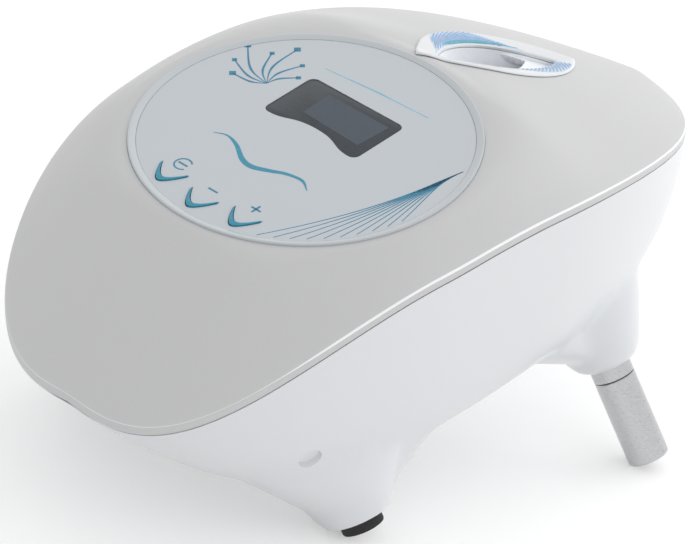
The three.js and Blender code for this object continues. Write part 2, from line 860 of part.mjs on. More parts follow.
// Panel: rim, overlay, window, keys and what lies behind them
function addPanel() {
  const rimProfile = [
    [panel.rimInner, overlayLow],
    [panel.rimOuter, overlayLow],
    [panel.rimOuter, panel.rimTop - panel.rimCrest],
    [panel.rimOuter - panel.rimCrest, panel.rimTop],
    [panel.rimOuter - 2 * panel.rimCrest, panel.rimTop],
    [panel.rimInner, panel.face + panel.rimStep],
    [panel.rimInner, overlayLow],
  ];
  add('panel_rim', turned(rimProfile, panel.sides), clear);

  const disc = rod(panel.rimInner - gap, overlayLow, panel.face, panel.sides);
  const windowHole = prism(windowShape(-gap), -overrun, overrun, display.arcSteps);
  const keyHoles = keys.map((place) => prism(keyShape(place, gap), -overrun, overrun, display.arcSteps));
  add('panel_overlay', cut(disc, windowHole, ...keyHoles), overlayGrey);
  const window = prism(windowShape(0), overlayLow, panel.face - display.sink, display.arcSteps);
  add('display_window', window, slate);

  const moduleMargin = display.openingMargin * 2;
  const moduleTop = overlayLow - gap;
  const module = block(
    display.left + moduleMargin,
    display.right - moduleMargin,
    display.bottom + moduleMargin + display.wave,
    display.top - moduleMargin,
    panelBoardTop + gap,
    moduleTop,
  );
  add('display_module', module, black);

  const edge = panelBoard.halfWidth;
  const plate = block(-edge, edge, panelBoard.front, panelBoard.back, panelBoardLow, panelBoardTop);
  const drill = rod(post.bore, panelBoardLow - gap, panelBoardTop + gap);
  const holes = panelPosts.map(({ x, y }) => moved(drill, x, y, 0));
  add('panel_board', cut(plate, ...holes), laminate);
  panelPosts.filter(({ pegged }) => !pegged).forEach(({ hand, x, y }) => {
    const tip = panelBoardTop + screw.boardThread;
    add(`panel_board_screw_${hand}`, screwUp(x, y, panelBoardLow - gap, tip), zinc);
  });
}

function addKeys() {
  const bodyLow = panelBoardTop + gap;
  const bodyTop = bodyLow + tact.height;
  keys.forEach((place) => {
    const cap = prism(keyShape(place, 0), -key.seat, key.proud, display.arcSteps);
    const stem = moved(rod(key.stemRadius, bodyTop - tact.stemDepth, 0), place.x, place.y, 0);
    add(`key_${place.place}`, joined(cap, stem), blue);

    const size = { width: tact.width, depth: tact.width, height: tact.height };
    const body = blockAt(size, place.x, place.y, bodyLow);
    const bore = moved(rod(tact.bore, bodyTop - tact.boreDepth, bodyTop + overrun), place.x, place.y, 0);
    add(`key_switch_${place.place}`, cut(body, bore), black);
  });
}

// Cradle: bezel that follows the cover, and the cup that hangs from it
function addCradle() {
  const { halfLength, halfWidth, openLength, openWidth, proud, thickness, wall } = cradle;
  const outerLow = lensRing(halfLength, halfWidth, (x, y) => topHeight(x, y) + gap);
  const outerTop = lensRing(halfLength - proud, halfWidth - proud, (x, y) => topHeight(x, y) + gap + proud);
  const innerTop = lensRing(openLength + proud, openWidth + proud, (x, y) => topHeight(x, y) + gap + proud);
  const innerMid = lensRing(openLength, openWidth, (x, y) => topHeight(x, y) + gap);
  const innerLow = lensRing(openLength, openWidth, (x, y) => topHeight(x, y) + gap - thickness);
  const skirtX = halfWidth - cradle.holeMargin - gap;
  const skirtY = halfLength - cradle.holeMargin - gap;
  const skirtLow = lensRing(skirtY, skirtX, (x, y) => topHeight(x, y) + gap - thickness);
  const skirtTop = lensRing(skirtY, skirtX, (x, y) => topHeight(x, y) + gap);
  const bezel = loop([outerLow, skirtTop, skirtLow, innerLow, innerMid, innerTop, outerTop]);
  add('cradle_bezel', bezel, white);

  const under = (x, y) => topHeight(x, y) - thickness;
  const flangeOut = [skirtY, skirtX];
  const cupOut = [openLength + wall, openWidth + wall];
  const { footLength, footWidth, depth, floor, flange } = cradle;
  const shape = [
    lensRing(openLength, openWidth, under),
    lensRing(...flangeOut, under),
    lensRing(...flangeOut, (x, y) => under(x, y) - wall),
    lensRing(...cupOut, (x, y) => under(x, y) - wall - flange),
    lensRing(footLength + wall, footWidth + wall, () => -depth),
  ];
  const hollow = [
    lensRing(footLength, footWidth, () => floor - depth),
    lensRing(openLength, openWidth, (x, y) => under(x, y) - flange),
  ];
  const cup = openCup([...hollow, ...shape], floor - depth, -depth);
  add('cradle_cup', joined(cup, cradleLedge(under)), white);

  const padLow = floor - depth + gap;
  const cushion = lensPrism(footLength - gap, footWidth - gap, padLow, padLow + cradle.padHeight);
  add('cradle_pad', cushion, rubber);
}

// Ledge in the cup's mouth, on its right and rear, that the handpiece leans on
function cradleLedge(under) {
  const { openLength, openWidth, wall, ledgeSink, ledgeThickness, ledgeRun, ledgeAcross } = cradle;
  const size = [openLength + wall / 2, openWidth + wall / 2];
  const high = (x, y) => under(x, y) - ledgeSink;
  const low = (x, y) => high(x, y) - ledgeThickness;
  const middle = under(0, cradle.centreY);
  const plate = skin(
    [lensRing(...size, high), lensRing(...size, low)],
    cradlePoint(middle - ledgeSink),
    cradlePoint(middle - ledgeSink - ledgeThickness),
  );
  const turn = THREE.MathUtils.degToRad(cradle.turnDeg);
  const upward = new THREE.Vector3(0, 0, 1);
  const shift = new THREE.Vector3(-ledgeAcross, -ledgeRun, 0).applyAxisAngle(upward, turn);
  return cut(plate, moved(lensPrism(...size, -cradle.depth, overrun), shift.x, shift.y, 0));
}

// Cup: rings from the inner floor up, over the lip and down to the outer floor
function openCup(rings, innerFloor, outerFloor) {
  return skin(rings, cradlePoint(innerFloor), cradlePoint(outerFloor));
}

// Legs: rubber pads in front, and behind a stud, insert, collar, tube and end plug
function addLegs() {
  const floor = belowFloor();
  legs.filter(({ rear }) => !rear).forEach(({ hand, frame }) => {
    const low = -leg.padStand;
    const high = pad.seat - gap;
    const body = turned([[0, low], [leg.radius, low], [leg.radius, high], [0, high]], boss.sides);
    const hole = rod(pad.screwRadius + slip, low - overrun, overrun);
    const headHole = rod(pad.headRadius + slip, low - overrun, low + pad.headHeight + slip);
    add(`front_foot_pad_${hand}`, cut(placed(cut(body, hole, headHole), frame), floor), rubber);
    const seat = low + pad.headHeight;
    const profile = [
      [0, low + gap],
      [pad.headRadius, low + gap],
      [pad.headRadius, seat],
      [pad.screwRadius, seat],
      [pad.screwRadius, low + pad.screwLength],
      [0, low + pad.screwLength],
    ];
    add(`foot_screw_${hand}`, placed(turned(profile, screw.sides), frame), zinc);
  });
  legs.filter(({ rear }) => rear).forEach(({ hand, frame }) => {
    const insert = tube(stud.insertRadius, stud.radius + slip, gap, stud.insertHeight, stud.sides);
    add(`rear_leg_insert_${hand}`, placed(insert, frame), brass);
    add(`rear_leg_stud_${hand}`, placed(rod(stud.radius, -stud.below, stud.above, stud.sides), frame), zinc);
    const collar = tube(leg.radius, stud.radius + slip, -leg.collarHeight, -gap, boss.sides);
    add(`rear_leg_collar_${hand}`, placed(collar, frame), brushed);

    const top = -leg.collarHeight - gap;
    const end = -leg.tubeStand;
    const boreLow = -stud.below - 2 * gap;
    const pocket = end + plug.height + plug.sink + gap;
    const profile = [
      [stud.radius + slip, top],
      [stud.radius + slip, boreLow],
      [plug.radius + slip, pocket],
      [plug.radius + slip, end],
      [leg.radius - leg.rimRound, end],
      [leg.radius - leg.rimRound * Math.SQRT1_2 / 2, end + leg.rimRound / 4],
      [leg.radius, end + leg.rimRound],
      [leg.radius, top],
      [stud.radius + slip, top],
    ];
    add(`rear_leg_tube_${hand}`, cut(placed(turned(profile, boss.sides), frame), floor), brushed);
    const stopper = rod(plug.radius, end + plug.sink, end + plug.sink + plug.height, stud.sides);
    add(`rear_leg_plug_${hand}`, placed(stopper, frame), rubber);
  });
}

// Main board and what it carries
function addBoard() {
  const { halfWidth, front, back } = board;
  const plate = block(-halfWidth, halfWidth, front, back, boardLow, boardTop);
  const holes = boardPosts.map(({ x, y }) => moved(rod(post.bore, boardLow - gap, boardTop + gap), x, y, 0));
  add('main_board', cut(plate, ...holes), laminate);
  boardPosts.filter(({ pegged }) => !pegged).forEach(({ hand, x, y }) => {
    add(`board_screw_${hand}`, screwDown(x, y, boardTop + gap, boardLow - screw.boardThread), zinc);
  });

  const low = boardTop + gap;
  const base = blockAt({ width: sink.width, depth: sink.depth, height: sink.base }, sink.x, sink.y, low);
  const pitch = (sink.width - sink.fin) / (sink.fins - 1);
  const fins = Array.from({ length: sink.fins }, (unused, i) => {
    const x = sink.x + (i - (sink.fins - 1) / 2) * pitch;
    return blockAt({ width: sink.fin, depth: sink.depth, height: sink.height }, x, sink.y, low);
  });
  add('heat_sink', joined(base, ...fins), anodised);

  const can = rod(capacitor.radius, low, low + capacitor.height, stud.sides);
  add('input_capacitor', moved(can, capacitor.x, capacitor.y, 0), black);
  add('output_capacitor', moved(can, capacitor.x + capacitor.pitch, capacitor.y, 0), black);
  add('control_chip', blockAt(chip, chip.x, chip.y, low), black);
  const sounder = cut(
    rod(beeper.radius, low, low + beeper.height, stud.sides),
    rod(beeper.hole, low + beeper.height - beeper.holeDepth, low + beeper.height + overrun),
  );
  add('beeper', moved(sounder, beeper.x, beeper.y, 0), black);
}

// Flat cable between the panel board and the main board, plugged in at both ends
function addRibbon() {
  const upperY = panelBoard.back - plugBlock.depth;
  const lowerY = board.back - plugBlock.depth;
  const upperLow = panelBoardLow - gap - plugBlock.height;
  const lowerLow = boardTop + gap;
  add('panel_connector', blockAt(plugBlock, plugBlock.x, upperY, upperLow), cream);
  add('board_connector', blockAt(plugBlock, plugBlock.x, lowerY, lowerLow), cream);

  const start = new THREE.Vector3(0, upperY, upperLow - gap);
  const finishPoint = new THREE.Vector3(0, lowerY, lowerLow + plugBlock.height + gap);
  const curve = new THREE.CubicBezierCurve3(
    start,
    start.clone().setZ(start.z - ribbon.reach),
    finishPoint.clone().setZ(finishPoint.z + ribbon.reach),
    finishPoint,
  );
  const rings = Array.from({ length: ribbon.steps + 1 }, (unused, i) => {
    const p = curve.getPoint(i / ribbon.steps);
    const t = curve.getTangent(i / ribbon.steps);
    const lift = new THREE.Vector3(0, -t.z, t.y).multiplyScalar(ribbon.thickness / 2);
    const left = plugBlock.x - ribbon.width / 2;
    const right = plugBlock.x + ribbon.width / 2;
    return [
      p.clone().sub(lift).setX(left),
      p.clone().sub(lift).setX(right),
      p.clone().add(lift).setX(right),
      p.clone().add(lift).setX(left),
    ];
  });
  const [first, last] = [start, finishPoint].map((p) => p.clone().setX(plugBlock.x));
  add('panel_ribbon', skin(rings, first, last), cream);
}

// Round lead along a curve through its stations
function leadAlong(points) {
  const circle = new THREE.Shape();
  circle.absarc(0, 0, lead.radius, 0, 2 * Math.PI, false);
  const path = new THREE.CatmullRomCurve3(points);
  return solid(new THREE.ExtrudeGeometry(circle, {
    steps: lead.steps,
    curveSegments: lead.sides,
    extrudePath: path,
  }));
}

// Tail: plate, inlet and power switch, and the lead that feeds the board
function addBay() {
  const plateLow = gap - bay.plate;
  const x = bay.halfWidth - gap;
  const y = bay.height / 2 - gap;
  const plate = block(-x, x, -y, y, plateLow, 0);
  const holes = [
    moved(rod(inlet.radius + slip, -overrun, overrun), -inlet.x, 0, 0),
    moved(switchBody(slip, -overrun, overrun), -power.x, 0, 0),
    ...plateScrewXs.map((place) => moved(rod(post.bore, -overrun, overrun), place, 0, 0)),
  ];
  add('rear_plate', placed(cut(plate, ...holes), bayFrame(0)), white);
  hands.forEach(({ hand, sign }) => {
    const shank = screwDown(0, 0, gap, gap - bay.screwLength);
    add(`plate_screw_${hand}`, placed(shank, bayFrame(sign * bay.screwX)), zinc);
  });

  const face = gap + inlet.flangeHeight;
  const socketLow = face - inlet.socketDepth;
  const inletProfile = [
    [0, -inlet.length],
    [inlet.radius, -inlet.length],
    [inlet.radius, gap],
    [inlet.flange, gap],
    [inlet.flange, face],
    [inlet.socket, face],
    [inlet.socket, socketLow],
    [inlet.pin, socketLow],
    [inlet.pin, socketLow + inlet.pinLength],
    [0, socketLow + inlet.pinLength],
  ];
  add('power_inlet', placed(turned(inletProfile, stud.sides), bayFrame(inlet.x)), black);
  addPowerSwitch();

  const inletBack = new THREE.Vector3(inlet.x, bayPlateY - inlet.length - gap, bayMiddle);
  const boardEdge = new THREE.Vector3(inlet.x - lead.bow, board.back + gap, boardTop + lead.radius + gap);
  const middle = inletBack.clone().lerp(boardEdge, 1 / 2);
  add('power_lead', leadAlong([
    inletBack,
    inletBack.clone().setY(inletBack.y - lead.bow),
    middle,
    boardEdge.clone().setY(boardEdge.y + lead.bow),
    boardEdge,
  ]), black);
}

function addPowerSwitch() {
  const inner = { x: power.halfWidth - power.wall, y: power.halfHeight - power.wall };
  const top = gap + power.flangeHeight;
  const flangeX = power.halfWidth + power.flange;
  const flangeY = power.halfHeight + power.flange;
  const pivot = top - power.pivotDepth;
  const cavity = block(-inner.x, inner.x, -inner.y, inner.y, power.wall - power.depth, top + overrun);
  const sideways = new THREE.Matrix4().makeRotationY(Math.PI / 2);
  const pinReach = inner.x + power.pinLength;
  const halfGap = gap / 2;
  const bore = rod(power.pinRadius + slip / 2, -pinReach - halfGap, pinReach + halfGap);
  const pinHole = moved(placed(bore, sideways), 0, 0, pivot);
  const lip = block(-flangeX, flangeX, -flangeY, flangeY, gap, top);
  const frame = joined(switchBody(0, -power.depth, top), lip);
  add('power_switch_frame', placed(cut(frame, cavity, pinHole), bayFrame(power.x)), black);

  const end = THREE.MathUtils.degToRad(power.endTurnDeg);
  const shape = new THREE.Shape();
  shape.absarc(0, 0, power.rockerRadius, Math.PI - end, Math.PI + end, false);
  shape.lineTo(0, -power.skirt - power.dip);
  shape.absarc(0, 0, power.rockerRadius, -end, end, false);
  shape.lineTo(0, power.dip);
  const width = inner.x - gap;
  const seesaw = placed(prism(shape, -width, width, display.arcSteps), rockerBasis());
  const pin = placed(rod(power.pinRadius, -pinReach, pinReach), sideways);
  const rest = new THREE.Matrix4().makeRotationX(THREE.MathUtils.degToRad(power.restDeg));
  const rocker = moved(placed(joined(seesaw, pin), rest), 0, 0, pivot);
  add('power_switch_rocker', placed(rocker, bayFrame(power.x)), black);
}

// Rocker outline: its length runs along y, its height along z and its width along x
function rockerBasis() {
  return new THREE.Matrix4().makeBasis(
    new THREE.Vector3(0, 1, 0),
    new THREE.Vector3(0, 0, 1),
    new THREE.Vector3(1, 0, 0),
  );
}

// Handpiece socket, its nut, and the lead back to the board
function addJack() {
  const face = -jack.recessDepth + gap;
  const low = face - jack.length;
  const socketLow = face - jack.socketDepth;
  const profile = [
    [0, low],
    [jack.bodyRadius, low],
    [jack.bodyRadius, face],
    [jack.socket, face],
    [jack.socket, socketLow],
    [0, socketLow],
  ];
  add('handpiece_jack', placed(turned(profile, stud.sides), jackPlace), black);
  const nutTop = -jack.padDepth - gap;
  const nut = cut(
    rod(jack.nutRadius, nutTop - jack.nutHeight, nutTop, jack.nutSides),
    rod(jack.bodyRadius + slip, nutTop - jack.nutHeight - overrun, nutTop + overrun, stud.sides),
  );
  add('jack_nut', placed(nut, jackPlace), zinc);

  const start = along(jackPlace, low - gap);
  const bend = along(jackPlace, low - lead.bow);
  const edge = new THREE.Vector3(board.halfWidth / 2, board.front - gap, boardTop + lead.radius + gap);
  add('jack_lead', leadAlong([start, bend, edge.clone().setY(edge.y - lead.bow), edge]), black);
}

function addCaseScrews() {
  casePosts.forEach(({ name, x, y, split }) => {
    add(`case_screw_${name}`, screwUp(x, y, -split - screw.grip - gap, screw.thread - split), zinc);
  });
}

addCover();
addPanel();
addKeys();
addCradle();
addLowerShell();
addLegs();
addBoard();
addRibbon();
addBay();
addJack();
addCaseScrews();

// Stand the unit on the floor, centred over it
leaned.rotation.x = lean;
leaned.position.z = -floorLevel;
device.updateMatrixWorld(true);
const extent = new THREE.Box3().setFromObject(device, true);
const centre = extent.getCenter(new THREE.Vector3());
leaned.position.x = -centre.x;
leaned.position.y = -centre.y;

export default device;
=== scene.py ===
"""Dressed model of a mesotherapy device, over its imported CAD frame.

Shapes are worked out in millimetres in the panel's own frame: x to the operator's right,
y up the panel, z out of it, with the centre of the panel's face at zero. PANEL places
that frame in the row frame, in metres.
"""

import json
from math import atan2, cos, hypot, pi, radians, sin, sqrt, tan

import bmesh
import bpy
import numpy as np
from mathutils import Matrix, Vector
from mathutils.geometry import tessellate_polygon


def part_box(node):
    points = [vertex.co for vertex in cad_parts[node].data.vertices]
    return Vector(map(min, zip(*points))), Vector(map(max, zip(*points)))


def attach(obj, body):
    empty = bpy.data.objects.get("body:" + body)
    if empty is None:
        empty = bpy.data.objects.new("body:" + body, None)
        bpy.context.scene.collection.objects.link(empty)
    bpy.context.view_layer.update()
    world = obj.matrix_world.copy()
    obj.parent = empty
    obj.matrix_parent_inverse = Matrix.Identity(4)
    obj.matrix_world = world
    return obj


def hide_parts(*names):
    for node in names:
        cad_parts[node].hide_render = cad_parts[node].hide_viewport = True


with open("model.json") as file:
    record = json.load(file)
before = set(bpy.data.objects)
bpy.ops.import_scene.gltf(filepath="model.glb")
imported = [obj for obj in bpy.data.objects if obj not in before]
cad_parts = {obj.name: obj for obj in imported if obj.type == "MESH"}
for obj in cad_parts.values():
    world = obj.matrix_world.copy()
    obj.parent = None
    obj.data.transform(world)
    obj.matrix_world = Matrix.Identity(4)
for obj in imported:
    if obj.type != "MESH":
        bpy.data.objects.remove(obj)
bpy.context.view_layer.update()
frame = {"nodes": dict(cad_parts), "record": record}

MM = 0.001
GAP = 0.3

# Sizes in millimetres; most are the CAD source's

HALF_WIDTH, WIDEST_Y = 82.8, 44.0
FRONT_LENGTH, BACK_LENGTH = 164.1, 143.5
FRONT_POWER, BACK_POWER = 2.64, 1.92
SIDE_DROP, NOSE_DROP, TAIL_DROP = 11.2, 46.4, 66.6
EDGE_FLAT, RIDGE_START = 15.5, 62.0
RIDGE_FRONT_POWER, RIDGE_BACK_POWER = 1.55, 1.22
FLAT_SHARE, FLAT_REACH, FLAT_POWER, FLAT_FADE = 0.8, 95.0, 2.6, 1.5
BEND_POWER, TIP_POWER = 1.4, 2.0
FRONT_TIP = FRONT_LENGTH - WIDEST_Y
BACK_TIP = BACK_LENGTH + WIDEST_Y
COVER_WALL, COVER_BAND, BAND_WIDTH = 3.2, 3.6, 3.4
LAND_RADIUS, LAND_FADE = 64.2, 72.0

SHELL_DEPTH, SHELL_WALL, SHELL_SEAM, SHELL_DRAFT = 91.0, 2.8, 0.5, 7.0
SEAM_SHOWN = 0.22
SIDE_TUCK, NOSE_TUCK, TAIL_TUCK = 6.0, 60.0, 14.8
SIDE_POWER, NOSE_POWER, TAIL_POWER = 5.0, 1.12, 1.4

SPLAY = radians(33)
LEG_REACH_X, LEG_REACH_DEPTH = 68.1, 115.0
FRONT_LEG = {"y": -42.3, "depth": 113.0, "flare": (28.0, 42.0)}
REAR_LEG = {"y": 91.2, "depth": 118.0, "flare": (25.0, 34.0)}
LEG_RADIUS, PAD_STAND, TUBE_STAND, COLLAR_HEIGHT = 8.0, 3.2, 40.7, 5.6

RIM_OUTER, RIM_INNER, RIM_TOP, FACE, RECESS = 63.6, 60.6, 0.9, 0.1, 1.6
WINDOW, WINDOW_CORNER, WINDOW_WAVE = (-23.5, 21.5, 2.0, 28.5), 3.0, 4.2
KEY_OFFSET, KEY_SPACING, KEY_RING, KEY_SPAN, KEY_RISE = -1.8, 18.5, 56.8, 12.6, 7.2
KEY_STROKE, KEY_TIP, KEY_BEND, KEY_PROUD = 2.3, 0.8, 2.4, 0.6

CRADLE_Y, CRADLE_TURN, CRADLE_SHIFT = 105.0, radians(-4.5), (-2.9, 1.4)
LENS_POWER = 1.9
BEZEL = (42.0, 21.3)
MOUTH = (31.0, 11.8)
CUP_FOOT = (21.0, 9.5)
CUP_DEPTH, CUP_FLOOR = 66.0, 2.4

LEDGE = {"sink": 1.2, "thickness": 2.6, "run": 12.0, "across": 4.5, "wider": 0.7, "edge": 0.5}
JACK_TURN, JACK_SHARE, JACK_STEP = radians(-38), 0.7, 0.003

# Wells of the case screws: x, y and depth
CASE_WELLS = [(-64, 2, 49), (64, 2, 49), (-32, 140, 63), (32, 140, 63), (0, -86, 57)]
WELL_RADIUS = 3.3

# How far cutters overrun, and how deep the cradle's go
OVERRUN, TIP_OVERRUN, LENS_CUT = 4.0, 6.0, 60.0

# Connector bay: two corners of its pocket
BAY = (-25.0, 168.7, -84.0), (25.0, BACK_TIP + TIP_OVERRUN, -71.4)

# Placing of the panel's frame: the legs set the lean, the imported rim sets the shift


def leg_frame(sign, leg):
    """Frame on a boss's face, in millimetres, with z running up into the body."""
    x = sign * (LEG_REACH_X + (leg["depth"] - LEG_REACH_DEPTH) * tan(SPLAY))
    return Matrix.Translation((x, leg["y"], -leg["depth"])) @ Matrix.Rotation(-sign * SPLAY, 4, "Y")


front_end = leg_frame(1, FRONT_LEG) @ Vector((0, 0, -PAD_STAND))
rear_end = leg_frame(1, REAR_LEG) @ Vector((0, 0, -TUBE_STAND))
LEAN = atan2(front_end.z - rear_end.z, rear_end.y - front_end.y)
LEANED = Matrix.Rotation(LEAN, 4, "X")
rim_low, rim_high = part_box("panel_rim")
rim_middle = Vector((0, 0, (RIM_TOP + GAP - RECESS) / 2)) * MM
PANEL = Matrix.Translation((rim_low + rim_high) / 2 - LEANED @ rim_middle) @ LEANED
PANEL_MM = PANEL @ Matrix.Scale(MM, 4)

# Outline and crown


def plan_half(y):
    front = y < WIDEST_Y
    return np.where(front, FRONT_LENGTH, BACK_LENGTH), np.where(front, FRONT_POWER, BACK_POWER)


def width_share(y):
    length, power = plan_half(y)
    along = np.clip(np.abs(y - WIDEST_Y) / length, 0, 1)
    return (1 - along ** power) ** (1 / power)


def outline(turn, inset, share=1.0):
    run, across = np.sin(turn), np.cos(turn)
    length, power = plan_half(WIDEST_Y + run)
    x = share * (HALF_WIDTH - inset) * np.sign(across) * np.abs(across) ** (2 / power)
    y = WIDEST_Y + share * (length - inset) * np.sign(run) * np.abs(run) ** (2 / power)
    return x, y


def edge_height(y):
    nose = np.maximum(0, -y - EDGE_FLAT) / (FRONT_TIP - EDGE_FLAT)
    tail = np.maximum(0, y) / BACK_TIP
    return -(SIDE_DROP * width_share(y) + NOSE_DROP * nose ** 2 + TAIL_DROP * tail ** 2)


def ridge_height(y):
    front = np.clip((-y - RIDGE_START) / (FRONT_TIP - RIDGE_START), 0, 1)
    back = np.clip((y - RIDGE_START) / (BACK_TIP - RIDGE_START), 0, 1)
    return -(NOSE_DROP * front ** RIDGE_FRONT_POWER + TAIL_DROP * back ** RIDGE_BACK_POWER)


def smooth(low, high, value):
    """Soft step from zero at a low value to one at a high one."""
    t = np.clip((value - low) / (high - low), 0, 1)
    return t * t * (3 - 2 * t)


def full_turn(count):
    """Equal steps round a circle, in radians."""
    return np.arange(count) * 2 * pi / count


# Stands in for a width of zero at the two tips
SMALLEST = 1e-6


def crown_height(x, y):
    """Height of the crown: an edge line and a ridge line, blended."""
    reach = np.maximum(HALF_WIDTH * width_share(y), SMALLEST)
    across = np.minimum(1, np.abs(x) / reach)
    run = np.minimum(1, np.abs(y) / FLAT_REACH)
    flat = FLAT_SHARE * (1 - run ** FLAT_POWER) ** FLAT_FADE
    bend = BEND_POWER + (TIP_POWER - BEND_POWER) * smooth(0, 1, run)
    blend = np.maximum(0, (across - flat) / (1 - flat)) ** bend
    return ridge_height(y) * (1 - blend) + edge_height(y) * blend


# The crown is averaged over a point and two rings round it, which close up toward the edge
SOFT_SIDE, SOFT_TIP = (0, 0.16), (4.0, 22.0)
MIDDLE_WEIGHT, RING_WEIGHTS, RING_POINTS = 0.4, ((5.0, 0.35), (10.0, 0.25)), 12


def top_height(x, y):
    """Height of the cover: the crown, softened inside its edge, with a flat land for the panel."""
    reach = np.maximum(HALF_WIDTH * width_share(y), SMALLEST)
    from_side = 1 - np.minimum(1, np.abs(x) / reach)
    from_tip = np.minimum(BACK_TIP - y, y + FRONT_TIP)
    inside = smooth(*SOFT_SIDE, from_side) * smooth(*SOFT_TIP, from_tip)
    total = MIDDLE_WEIGHT * crown_height(x, y)
    for radius, weight in RING_WEIGHTS:
        for turn in full_turn(RING_POINTS):
            aside, ahead = radius * cos(turn) * inside, radius * sin(turn) * inside
            total = total + weight / RING_POINTS * crown_height(x + aside, y + ahead)
    return total * smooth(LAND_RADIUS, LAND_FADE, np.hypot(x, y))


def rim_height(turn):
    return edge_height(outline(turn, 0)[1]) - COVER_BAND - SHELL_SEAM


def curl(share, power):
    return 1 - (1 - share ** power) ** (1 / power)


def wall_inset(tip, back, share):
    """How far the wall stands in from the outline, a share of the way down to the floor."""
    tuck = SIDE_TUCK + (np.where(back, TAIL_TUCK, NOSE_TUCK) - SIDE_TUCK) * tip
    power = SIDE_POWER + (np.where(back, TAIL_POWER, NOSE_POWER) - SIDE_POWER) * tip
    return tuck * curl(share, power) + SHELL_DRAFT * share * (1 - tip)


def wall_point(turn, share, inset=0.0, lift=0.0):
    inward = wall_inset(np.sin(turn) ** 2, np.sin(turn) > 0, share) + inset
    x, y = outline(turn, inward)
    rim = rim_height(turn)
    return np.stack([x, y, rim + (lift - SHELL_DEPTH - rim) * share + 0 * x], -1)


# Mesh building

collection = bpy.context.scene.collection

# Points this near, in metres, are one. Faces that meet at more than this, in degrees, keep a crease.
MERGED, CREASE = 2e-6, 35


def new_object(name, points, faces, place=PANEL_MM, crease=CREASE):
    mesh = bpy.data.meshes.new(name)
    mesh.from_pydata([tuple(p) for p in points], [], [tuple(f) for f in faces])
    mesh.transform(place)
    piece = bpy.data.objects.new(name, mesh)
    collection.objects.link(piece)
    finish_mesh(piece, crease)
    return piece


def finish_mesh(piece, crease=CREASE):
    """Turn faces outward and shade smooth, with creases where faces meet sharply."""
    shape = bmesh.new()
    shape.from_mesh(piece.data)
    bmesh.ops.remove_doubles(shape, verts=shape.verts, dist=MERGED)
    bmesh.ops.recalc_face_normals(shape, faces=shape.faces)
    for edge in shape.edges:
        edge.smooth = len(edge.link_faces) == 2 and edge.calc_face_angle(0) < radians(crease)
    for face in shape.faces:
        face.smooth = True
    shape.to_mesh(piece.data)
    shape.free()


def skin(name, rings, first=None, last=None, closed=False, **options):
    """Closed surface through equal rings of points, capped at a first and a last point."""
    rings = [np.asarray(ring, float) for ring in rings]
    count = len(rings[0])
    points = np.concatenate(rings)
    faces = []
    spans = len(rings) if closed else len(rings) - 1
    for r in range(spans):
        a, b = r * count, (r + 1) % len(rings) * count
        faces += [(a + i, b + i, b + (i + 1) % count, a + (i + 1) % count) for i in range(count)]
    for cap, start in ((first, 0), (last, (len(rings) - 1) * count)):
        if cap is not None:
            points = np.vstack([points, cap])
            tip = len(points) - 1
            faces += [(tip, start + i, start + (i + 1) % count) for i in range(count)]
    return new_object(name, points, faces, **options)


def lathe(name, profile, place, count=96):
    """Turned piece from pairs of radius and height; ends on the axis are closed by a point."""
    turn = full_turn(count)
    capped = profile[0][0] == 0
    pairs = profile[1:-1] if capped else profile
    rings = [np.stack([r * np.cos(turn), r * np.sin(turn), np.full(count, h)], -1) for r, h in pairs]
    ends = [(0, 0, profile[0][1]), (0, 0, profile[-1][1])] if capped else [None, None]
    return skin(name, rings, *ends, closed=not capped, place=PANEL_MM @ place)


def block(name, low, high):
    corners = [(x, y, z) for x in (low[0], high[0]) for y in (low[1], high[1]) for z in (low[2], high[2])]
    faces = [(0, 1, 3, 2), (4, 6, 7, 5), (0, 4, 5, 1), (2, 3, 7, 6), (0, 2, 6, 4), (1, 5, 7, 3)]
    return new_object(name, corners, faces)


def belt(loop, count):
    """Faces that join a loop of points to its copy, whose numbers are a count higher."""
    return [(a, b, count + b, count + a) for a, b in zip(loop, [*loop[1:], loop[0]])]


def plate(name, polygon, low, high, holes=()):
    """Flat plate of a polygon with holes, between two heights."""
    loops = [[Vector((x, y, 0)) for x, y in loop] for loop in (polygon, *holes)]
    flat = [p for loop in loops for p in loop]
    count = len(flat)
    triangles = tessellate_polygon(loops)
    points = [(p.x, p.y, z) for z in (high, low) for p in flat]
    faces = [tuple(t) for t in triangles] + [tuple(count + i for i in reversed(t)) for t in triangles]
    start = 0
    for loop in loops:
        faces += belt(range(start, start + len(loop)), count)
        start += len(loop)
    return new_object(name, points, faces)


def join(name, pieces):
    """One piece of several, which are used up."""
    gathered = bmesh.new()
    for piece in pieces:
        gathered.from_mesh(piece.data)
        bpy.data.objects.remove(piece)
    mesh = bpy.data.meshes.new(name)
    gathered.to_mesh(mesh)
    gathered.free()
    whole = bpy.data.objects.new(name, mesh)
    collection.objects.link(whole)
    return whole


def settle(piece, crease=CREASE):
    """Apply a piece's modifiers."""
    bpy.context.view_layer.update()
    graph = bpy.context.evaluated_depsgraph_get()
    mesh = bpy.data.meshes.new_from_object(piece.evaluated_get(graph))
    piece.modifiers.clear()
    piece.data = mesh
    finish_mesh(piece, crease)


def carve(piece, *cutters):
    """Cut a piece by cutters, which are used up."""
    for cutter in cutters:
        change = piece.modifiers.new("carve", "BOOLEAN")
        change.operation = "DIFFERENCE"
        change.object = cutter
        change.solver = "EXACT"
    settle(piece)
    for cutter in cutters:
        bpy.data.objects.remove(cutter)


def rounded(piece, width, segments=3, angle=40):
    """Round the edges of a piece that are sharper than an angle in degrees."""
    bevel = piece.modifiers.new("edges", "BEVEL")
    bevel.width = width * MM
    bevel.segments = segments
    bevel.limit_method = "ANGLE"
    bevel.angle_limit = radians(angle)
    settle(piece)


